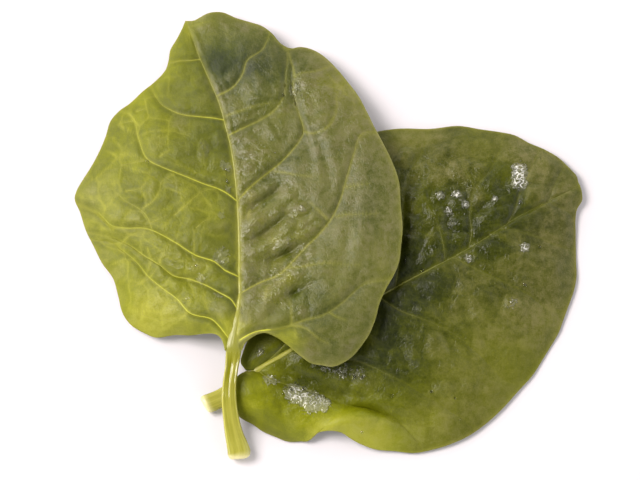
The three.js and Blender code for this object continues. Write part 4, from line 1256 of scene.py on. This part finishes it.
# %% Build both blades
FRONT_LOOK = {
    "cell": 6.4, "plump": 0.8, "tilt": 0.09, "pucker": FRONT_PUCKER, "dents": FRONT_DENTS,
    "wrinkles": FRONT_WRINKLES, "shows": FRONT_SHOWS, "twigs": (0.5, 0.18), "panels": 0.13,
    "base": 0.54, "yellow": FRONT_YELLOW_AND_PAINTED_LIGHT, "wet": FRONT_WET,
    "painted_sheen_base": 0.02, "painted_sheen_right": 0.62, "painted_shade_right": 0.055,
    "sheen_in_cells": 0.30, "painted_shade_beside_veins": 0.16, "bloom": FRONT_PAINTED_SHEEN}
BACK_LOOK = {
    "cell": 7.2, "plump": 1.0, "tilt": 0.12, "pucker": BACK_PUCKER, "dents": BACK_DENTS,
    "wrinkles": BACK_WRINKLES, "shows": BACK_SHOWS, "twigs": (0.35, 0.35), "panels": 0.28,
    "base": 0.275, "yellow": BACK_YELLOW_AND_PAINTED_LIGHT, "wet": BACK_WET,
    "painted_sheen_base": 0.06, "painted_sheen_right": 0.0, "painted_shade_right": 0.0,
    "sheen_in_cells": 0.15, "painted_shade_beside_veins": 0.06, "bloom": BACK_PAINTED_SHEEN}
front = Blade(front_midrib, (FRONT_LEFT_MARGIN, FRONT_RIGHT_MARGIN),
              (FRONT_LEFT_VEINS, FRONT_RIGHT_VEINS), FRONT_LOBES, FRONT_CREASES, FRONT_TWIGS,
              FRONT_LOOK, seed=11)
back = Blade(back_midrib, (BACK_FAR_MARGIN, BACK_NEAR_MARGIN),
             (BACK_FAR_VEINS, BACK_NEAR_VEINS), BACK_LOBES, BACK_CREASES, BACK_TWIGS,
             BACK_LOOK, seed=29)
front_blade = front.piece("front_blade", front_skin)
back_blade = back.piece("back_blade", back_skin)
for piece, node, slot in ((front_blade, "front_leaf_blade", "front_leaf"),
                          (back_blade, "back_leaf_blade", "back_leaf")):
    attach(piece, "root")
    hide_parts(node)

# %% [markdown]
# ## Stalks that run on as midribs
# A stalk is swept: an oval section follows a line and changes as it goes. Where it meets the
# blade it sinks in, and from there on it shows as a low pale ridge above and a stout one below.
# A curve with a bevel could make the free part, but not a section that changes its form. So the
# stations come first. Each is a row of numbers: its place, how far the section rises and drops,
# its widths above and below, and its channel.

# %% Stations of the free stalk and of the rib
FREE_STEPS, RIB_STEPS = 90, 170
RIB_END = 0.92  # where the rib stops, as a share of the midrib
RIB_TALL = (2.6, 0.6)  # at the stalk and at its end
RIB_BROAD = (3.3, 0.8)
RIB_STAND = 0.28  # how far it stands out of the upper skin
CLEARANCE = 0.3


def rib_stations(blade, shown):
    """Stations under and over the skin, where the stalk has become the midrib."""
    shares = np.linspace(0, RIB_END, RIB_STEPS)
    spine = blade.midrib.at(shares)
    high, low = blade.over(spine[:, :2] + 0.01), blade.below(spine[:, :2] + 0.01)
    good = ~np.isnan(high) & ~np.isnan(low) & (shares > 0.015)
    high, low = (np.interp(shares, shares[good], z[good]) for z in (high, low))
    s = shares / RIB_END
    root, tail = fade(0, 0.1, s), fade(0.75, 1, s)
    stand = RIB_STAND * (1 - s) + 0.05
    deep = spine[:, 2] - BLADE_THICKNESS / 2 - CLEARANCE - RIB_TALL[0]
    deep += (RIB_TALL[0] - RIB_TALL[1]) * s**0.8
    deep = np.maximum(deep * (1 - tail) + (low - 0.05) * tail, 0)
    middle = (high + low) / 2 * root + (high + stand + deep) / 2 * (1 - root)
    broad = RIB_BROAD[0] + (RIB_BROAD[1] - RIB_BROAD[0]) * s
    return np.column_stack([spine[:, :2], middle, high + stand - middle, middle - deep,
                            np.interp(s, *zip(*shown)), broad, 0 * s, 0 * s + 1, s])


def free_stations(table, blade, shown, rib):
    """Stations of the free stalk, which ends as the first station of the rib."""
    line = Line([row[:3] for row in table] + [tuple(blade.midrib.at(0.0))])
    marks = [line.share_near(row) for row in table]
    s = np.linspace(0, 1, FREE_STEPS, endpoint=False)
    z, wide, tall, channel = (np.interp(s, marks, column) for column in list(zip(*table))[2:])
    join = fade(0.80, 1, s)
    top = z + tall / 2 + (rib[2] + rib[3] - z - tall / 2) * join
    base = z - tall / 2 + (rib[2] - rib[4] - z + tall / 2) * join
    half = (top - base) / 2
    above = wide + (shown[0][1] - wide) * join
    return np.column_stack([line.at(s)[:, :2], (top + base) / 2, half, half, above, wide,
                            channel * (1 - join), join, 0 * s])


def stalk_stations(table, blade, shown):
    """Rows of x, y, z, rise, drop, widths above and below, channel, sunk in or not, share."""
    ribs = rib_stations(blade, shown)
    rows = np.vstack([free_stations(table, blade, shown, ribs[0]), ribs])
    soft = hill(np.arange(len(rows)), FREE_STEPS, 12)[:, None]
    window = np.hanning(17) / np.hanning(17).sum()
    form = rows[:, 2:6]
    mean = np.stack([np.convolve(np.pad(c, 8, "edge"), window, "valid") for c in form.T], 1)
    rows[:, 2:6] = form + (mean - form) * soft
    return rows


print(FREE_STEPS + RIB_STEPS, "stations along each stalk")

# %% [markdown]
# ## Rings along a stalk
# Each station becomes a ring of points square to the line. The upper side has a shallow channel
# and four fine ridges, and the lower side is round. The cut end is slanted, slightly hollow and
# paler, with corners that are a little rounded off.

# %% Rings of a stalk
SIDES = 40
CUT_SLANT = 0.15  # how far the cut end leans, per mm of its width
HOLLOW = ((0.72, 0.0), (0.40, 0.16), (0.0, 0.2))  # size and depth of the rings in the cut end
RIDGES = ((-0.42, 0.06, 0.8), (0.10, 0.03, 1.0), (0.19, 0.03, 0.8), (0.42, 0.05, 0.6))
RIDGE_TALL = 0.32


def stalk_rings(rows, run):
    """All rings with those of the hollow end first, and how strong the ridges are."""
    ahead = unit(np.gradient(rows[:, :3], axis=0))
    side = unit(np.cross(ahead, [0, 0, 1]))
    lift = np.cross(side, ahead)
    angle = 2 * np.pi * np.arange(SIDES) / SIDES
    cos, sin = np.cos(angle), np.sin(angle)
    rise, drop, above, below, channel, rib = (rows[:, k : k + 1] for k in range(3, 9))
    far = run[:, None]
    width = below + (above - below) * fade(-0.35, 0.5, sin)
    round_off = 0.72 + 0.28 * np.sqrt(1 - (1 - np.clip(far / 1.5, 0, 1)) ** 2)
    across = width / 2 * cos * round_off
    square = 1 - 0.45 * fade(20, 28, far) * (far < run[FREE_STEPS] + 12)
    up = np.where(sin > 0, rise * np.abs(sin) ** square, drop * sin) * round_off
    dip = channel * np.clip(1 - (2.2 * across / width) ** 2, 0, 1) * (sin > 0)
    ridge = sum(tall * hill(cos / 2, at, broad) for at, broad, tall in RIDGES)
    ridge = ridge * (sin > 0) * (1 - rib) * fade(1, 9, far)
    wobble = noise(np.stack([run * 0.4, run * 0 + 3], 1), 1, 5)[:, None] * 0.06
    up = up - dip + wobble * (1 - rib) + RIDGE_TALL * ridge
    slant = CUT_SLANT * across * (1 - fade(0, 4, far))
    points = (rows[:, None, :3] + side[:, None] * across[..., None]
              + lift[:, None] * up[..., None] + ahead[:, None] * slant[..., None])
    points[..., 2] = np.maximum(points[..., 2], 0)
    middle = points[0].mean(0)
    end = [middle + (points[0] - middle) * scale + ahead[0] * sink for scale, sink in HOLLOW]
    return np.concatenate([end[::-1], points]), ridge


print("a ring has", SIDES, "points")

# %% [markdown]
# ## Skin the rings
# Faces join each ring to the next, and each face keeps its place round and along the stalk as
# its UV map. The hollow end closes in one point, so its doubled points are merged last.

# %% Sweep the stalks
def sweep(name, table, blade, shown, bright):
    """A stalk and its rib: shown is its width along the blade, bright how pale it is there."""
    rows = stalk_stations(table, blade, shown)
    step = np.linalg.norm(np.diff(rows[:, :3], axis=0), axis=1)
    run = np.concatenate([[0], np.cumsum(step)])
    rings, ridge = stalk_rings(rows, run)
    along = np.concatenate([[-0.3, -0.2, -0.1], run])
    faces, lay = [], []
    for i in range(len(rings) - 1):
        for k in range(SIDES):
            n = (k + 1) % SIDES
            faces.append([i * SIDES + k, (i + 1) * SIDES + k, (i + 1) * SIDES + n, i * SIDES + n])
            a, b = k / SIDES, (k + 1) / SIDES
            lay += [(a, along[i]), (a, along[i + 1]), (b, along[i + 1]), (b, along[i])]
    end = (len(rings) - 1) * SIDES
    faces.append([end + k for k in range(SIDES)][::-1])
    lay += [(0.5, along[-1])] * SIDES
    made = make_object(name, rings.reshape(-1, 3), faces, [stalk_material])

    def ringed(cap, values):
        """A number for the hollow end, then one for each ring, repeated round it."""
        return np.repeat(np.concatenate([[cap] * len(HOLLOW), values]), SIDES)

    glow = np.interp(rows[:, 9], np.linspace(0, 1, len(bright)), bright)
    give(made, rib=ringed(0, rows[:, 8]),
         ridge=np.concatenate([np.zeros(len(HOLLOW) * SIDES), np.clip(ridge, 0, 1).ravel()]),
         glow=ringed(0, glow), pale=ringed(1, 1 - fade(4, 26, run)),
         cut=ringed(1, 1 - fade(0, 2.5, run)))
    chart = made.data.uv_layers.new(name="round_and_along")
    chart.data.foreach_set("uv", np.array(lay, np.float32).ravel())
    work = bmesh.new()
    work.from_mesh(made.data)
    bmesh.ops.remove_doubles(work, verts=work.verts, dist=1e-7)
    bmesh.ops.recalc_face_normals(work, faces=work.faces)
    work.to_mesh(made.data)
    work.free()
    print(name, "is %.0f mm long" % run[-1])
    return made


front_stalk = sweep("front_stalk", FRONT_STALK, front,
                    [(0, 5.2), (0.02, 4.2), (0.05, 2.9), (0.09, 2.0), (0.15, 1.4), (0.3, 1.1),
                     (0.6, 0.8), (1, 0.35)],
                    [0.30, 0.50, 0.46, 0.40, 0.36, 0.32, 0.28])
back_stalk = sweep("back_stalk", BACK_STALK, back,
                   [(0, 3.4), (0.04, 2.0), (0.1, 1.2), (0.3, 0.8), (0.6, 0.5), (1, 0.2)],
                   [0.6, 0.45, 0.24, 0.10, 0, 0, 0])
for piece, node in ((front_stalk, "front_leaf_stalk"), (back_stalk, "back_leaf_stalk")):
    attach(piece, "root")
    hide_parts(node)

# %% [markdown]
# ## Raised veins that follow the skin
# A side vein shows as a thin pale line in a valley above, and as a rounded ridge below. Each
# follows its own path over the skin, so Geometry Nodes sweep a small circle along all of them
# at once. First come two helpers, one for a new tree with named inputs and one that runs it.

# %% Make and run Geometry Nodes
def geometry_tree(name, inputs):
    """A new Geometry Nodes tree with named inputs. Returns the tree, its kit and its sockets."""
    tree = bpy.data.node_groups.new(name, "GeometryNodeTree")
    tree.interface.new_socket("Geometry", in_out="INPUT", socket_type="NodeSocketGeometry")
    tree.interface.new_socket("Geometry", in_out="OUTPUT", socket_type="NodeSocketGeometry")
    for label, kind in inputs:
        tree.interface.new_socket(label, in_out="INPUT", socket_type="NodeSocket" + kind)
    kit = Tree(tree)
    start = kit.node("NodeGroupInput")
    return tree, kit, {s.name: Value(kit, s) for s in start.socket.node.outputs if s.name}


def apply_nodes(piece, tree, values):
    """Runs a tree on a piece, and keeps the result as a plain mesh."""
    modifier = piece.modifiers.new("nodes", "NODES")
    modifier.node_group = tree
    for socket in tree.interface.items_tree:
        if socket.name in values and socket.in_out == "INPUT":
            modifier[socket.identifier] = values[socket.name]
    bpy.context.view_layer.update()
    ready = piece.evaluated_get(bpy.context.evaluated_depsgraph_get())
    mesh = bpy.data.meshes.new_from_object(ready)
    piece.modifiers.clear()
    piece.data = mesh


print("helpers ready")

# %% [markdown]
# The mesh that the veins start from is only edges. Each point says how thick the vein is there,
# and the circle is scaled by that. A Skin modifier could thicken edges too, but its branches
# come out lumpy.

# %% Nodes that turn edges into tapering veins
def vein_tree():
    """Nodes that sweep a circle along every line, as thick as its points say."""
    tree, t, given = geometry_tree("sweep_veins", [
        ("Thickness", "Float"), ("Sides", "Int"), ("Material", "Material")])
    lines = t.node("GeometryNodeMeshToCurve", {}, {"Mesh": given["Geometry"]})
    circle = t.node("GeometryNodeCurvePrimitiveCircle", {}, {
        "Resolution": given["Sides"], "Radius": 1.0})
    tubes = t.node("GeometryNodeCurveToMesh", {}, {
        "Curve": lines, "Profile Curve": circle, "Scale": t.named("girth") * given["Thickness"],
        "Fill Caps": True})
    smooth = t.node("GeometryNodeSetShadeSmooth", {}, {"Geometry": tubes})
    whole = t.node("GeometryNodeRealizeInstances", {}, {"Geometry": smooth})
    done = t.node("GeometryNodeSetMaterial", {}, {
        "Geometry": whole, "Material": given["Material"]})
    t.node("NodeGroupOutput", {}, {"Geometry": done})
    return tree


veins_by_nodes = vein_tree()
print(len(veins_by_nodes.nodes), "nodes sweep the veins")

# %% [markdown]
# Above, a vein is seen only as far as its table says, and sinks a little into its valley.
# Below, every vein runs almost to the margin and stands out more.

# %% Raise the veins
SUNK = 0.3  # how far the middle of a vein lies in the skin, as a share of its thickness
SEEN_BELOW = (0.92, 1.0)  # how far along and how strongly each vein is seen there
GIRTHS_BELOW = ((0.62, 0.16), (0.28, 0.10))  # of side veins and small veins, at start and end


def vein_lines(blade, skin, stand, girths, seen=None):
    """Edges along the veins, on the upper or lower skin, with their thickness in mm."""
    places, edges, girth, glow = [], [], [], []
    routes = [(path, girths[0]) for path in blade.side_veins]
    routes += [(path, girths[1]) for path in blade.twigs]
    for (path, (thick, thin)), shown in zip(routes, blade.shows):
        end, strong = seen or shown
        share = np.linspace(0, 1, len(path))
        keep = share <= end
        xy, share = path[keep, :2], share[keep] / end
        z = skin(xy)
        good = ~np.isnan(z)
        xy, z, share = xy[good], z[good], share[good]
        if len(z) < 4:
            continue
        size = (thick + (thin - thick) * share**0.7) * (0.5 + 0.5 * strong)
        first = len(places)
        places += np.column_stack([xy, z + stand * size]).tolist()
        edges += [(first + n, first + n + 1) for n in range(len(z) - 1)]
        girth += size.tolist()
        glow += ((1 - 0.5 * share) * strong).tolist()
    return places, edges, girth, glow


def raise_veins(name, blade, girths, finish):
    """All veins of a blade as one piece. The girths are of side veins and small veins, in mm."""
    places, edges, girth, glow = [], [], [], []
    for p, e, g, w in (vein_lines(blade, blade.over, -SUNK, girths),
                       vein_lines(blade, blade.below, SUNK, GIRTHS_BELOW, SEEN_BELOW)):
        edges += [(a + len(places), b + len(places)) for a, b in e]
        places, girth, glow = places + p, girth + g, glow + w
    mesh = bpy.data.meshes.new(name)
    mesh.from_pydata([(x * MM, y * MM, z * MM) for x, y, z in places], edges, [])
    made = bpy.data.objects.new(name, mesh)
    bpy.context.scene.collection.objects.link(made)
    give(made, girth=girth, glow=glow)
    apply_nodes(made, veins_by_nodes, {"Thickness": MM, "Sides": 8, "Material": finish})
    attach(made, "root")
    print(name, len(made.data.polygons), "faces")


raise_veins("front_veins", front, ((0.20, 0.05), (0.10, 0.05)), front_veins)
raise_veins("back_veins", back, ((0.24, 0.05), (0.10, 0.04)), back_veins)

# %% [markdown]
# ## Drops of water
# Washed leaves keep small drops, most of them where the skin is wet already. Geometry Nodes
# scatter points over the upper skin, as thick as the wetness says and never too close, and put
# a flattened ball on each. The seed is fixed, and the ball has only a few dozen faces because
# it is repeated so often.

# %% Nodes that scatter drops
def drop_tree():
    """Nodes that put flattened balls on the wet parts of the upper skin."""
    tree, t, given = geometry_tree("scatter_drops", [
        ("Density", "Float"), ("Distance", "Float"), ("Smallest", "Float"), ("Largest", "Float"),
        ("Seed", "Int"), ("Material", "Material")])
    under = t.named("under")
    share = (t.named("wet") * 0.95 + 0.05) * (1 - under)
    share = share * (t.named("edge") > 0.05) * (under < 0.1)
    points = t.node("GeometryNodeDistributePointsOnFaces", {"distribute_method": "POISSON"}, {
        "Mesh": given["Geometry"], "Distance Min": given["Distance"],
        "Density Max": given["Density"], "Density Factor": share, "Seed": given["Seed"]})
    ball = t.node("GeometryNodeMeshIcoSphere", {}, {"Radius": 1.0, "Subdivisions": 2})
    size = t.node("FunctionNodeRandomValue", {"data_type": "FLOAT"}, {
        "Min_001": given["Smallest"], "Max_001": given["Largest"],
        "Seed": given["Seed"]}, output=1)
    flat = t.node("ShaderNodeCombineXYZ", {}, {"X": size, "Y": size * 0.86, "Z": size * 0.3})
    drops = t.node("GeometryNodeInstanceOnPoints", {}, {
        "Points": points, "Instance": ball, "Rotation": points.other("Rotation"), "Scale": flat})
    whole = t.node("GeometryNodeRealizeInstances", {}, {"Geometry": drops})
    smooth = t.node("GeometryNodeSetShadeSmooth", {}, {"Geometry": whole})
    done = t.node("GeometryNodeSetMaterial", {}, {
        "Geometry": smooth, "Material": given["Material"]})
    t.node("NodeGroupOutput", {}, {"Geometry": done})
    return tree


drops_by_nodes = drop_tree()
print(len(drops_by_nodes.nodes), "nodes scatter the drops")

# %% [markdown]
# The nodes run on a copy of each blade, so the blade itself stays as it is. The drops ride
# the same body. They replace nothing, since no CAD node stands for water.

# %% Wet both blades
DROP_GAP, SMALLEST, LARGEST = 0.0021, 0.00022, 0.0007  # in metres
BALL_FACES = 80


def wet_down(name, blade_piece, density, seed):
    """A piece of drops for one blade. The density is in drops to a square metre."""
    made = bpy.data.objects.new(name, blade_piece.data.copy())
    bpy.context.scene.collection.objects.link(made)
    apply_nodes(made, drops_by_nodes, {
        "Density": density, "Distance": DROP_GAP, "Smallest": SMALLEST, "Largest": LARGEST,
        "Seed": seed, "Material": water_material})
    made.data.materials.clear()
    made.data.materials.append(water_material)
    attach(made, "root")
    print(name, len(made.data.polygons) // BALL_FACES, "drops")


wet_down("front_drops", front_blade, 16000.0, 3)
wet_down("back_drops", back_blade, 50000.0, 8)

# %% [markdown]
# ## Floor
# The leaves lie on a plain pale table. It is one large face a hair below them, so nothing
# flickers where they touch. A little emission stands for light that bounces round the room.

# %% Floor
TABLE = 900  # half its side, in mm
corners = [(-TABLE, -TABLE, 0), (TABLE, -TABLE, 0), (TABLE, TABLE, 0), (-TABLE, TABLE, 0)]
floor = make_object("table_top", corners, [[0, 1, 2, 3]], [], smooth=False)
floor.data.transform(Matrix.Translation((0, 0, min(0, cad_box[0][2]) - 0.0001)))
table, t = material("white_table")
surface(t, t.principled({
    "Base Color": (0.565, 0.552, 0.572, 1), "Roughness": 0.65, "Specular IOR Level": 0.2,
    "Emission Color": (1, 0.98, 0.98, 1), "Emission Strength": 0.05}))
floor.data.materials.append(table)
print("the table is %.1f m wide" % (2 * TABLE * MM))

# %% [markdown]
# ## Light
# A soft light stands above the leaves on the left, so that the skin which faces it takes a grey
# sheen and every wrinkle beside the midrib shows. A faint one on the right softens the shadows.
# The room is bright near the horizon and dark overhead, so little of it mirrors in the skin.

# %% Lights
def soft_light(name, toward, away, size, power, color):
    """A square area light that looks at the leaves from a direction."""
    lamp = bpy.data.lights.new(name, "AREA")
    lamp.size, lamp.energy, lamp.color = size, power, color
    made = bpy.data.objects.new(name, lamp)
    bpy.context.scene.collection.objects.link(made)
    toward = Vector(toward).normalized()
    made.location = toward * away
    made.rotation_euler = toward.to_track_quat("Z", "Y").to_euler()


soft_light("softbox", (-0.60, 0.16, 0.78), 0.9, 0.46, 12.5, (1.0, 0.935, 0.905))
soft_light("fill", (0.62, 0.20, 0.75), 0.9, 0.8, 1.6, (1.0, 0.95, 0.93))
world = bpy.data.worlds.new("studio")
world.use_nodes = True
world.node_tree.nodes.clear()
t = Tree(world.node_tree)
around = t.node("ShaderNodeTexCoord", output="Generated")
height = t.node("ShaderNodeSeparateXYZ", {}, {"Vector": around}, output="Z")
room = t.node("ShaderNodeBackground", {}, {
    "Color": (1.0, 0.955, 0.95, 1), "Strength": 3.3 - 3.2 * t.step(height, 0.0, 0.85)})
t.node("ShaderNodeOutputWorld", {}, {"Surface": room})
bpy.context.scene.world = world
bpy.context.scene.view_settings.view_transform = "Standard"
print(len(bpy.data.lights), "lamps and a room")

# %% [markdown]
# ## Camera
# The camera looks almost straight down, from far away with a long lens, so the leaves keep
# their true shape. Its place is worked out from an angle and a distance, which are easier to
# change than three coordinates.

# %% Camera
ELEVATION, DISTANCE, TARGET = 78, 0.9, Vector((-0.0025, -0.0028, 0.005))
lens = bpy.data.cameras.new("camera")
lens.lens, lens.sensor_width = 168.75, 36
camera = bpy.data.objects.new("camera", lens)
bpy.context.scene.collection.objects.link(camera)
angle = math.radians(ELEVATION)
camera.location = TARGET + DISTANCE * Vector((0, -math.cos(angle), math.sin(angle)))
camera.rotation_euler = (camera.location - TARGET).to_track_quat("Z", "Y").to_euler()
bpy.context.scene.camera = camera
print("the camera looks down at", ELEVATION, "degrees")

# %% Finish
print("finished")
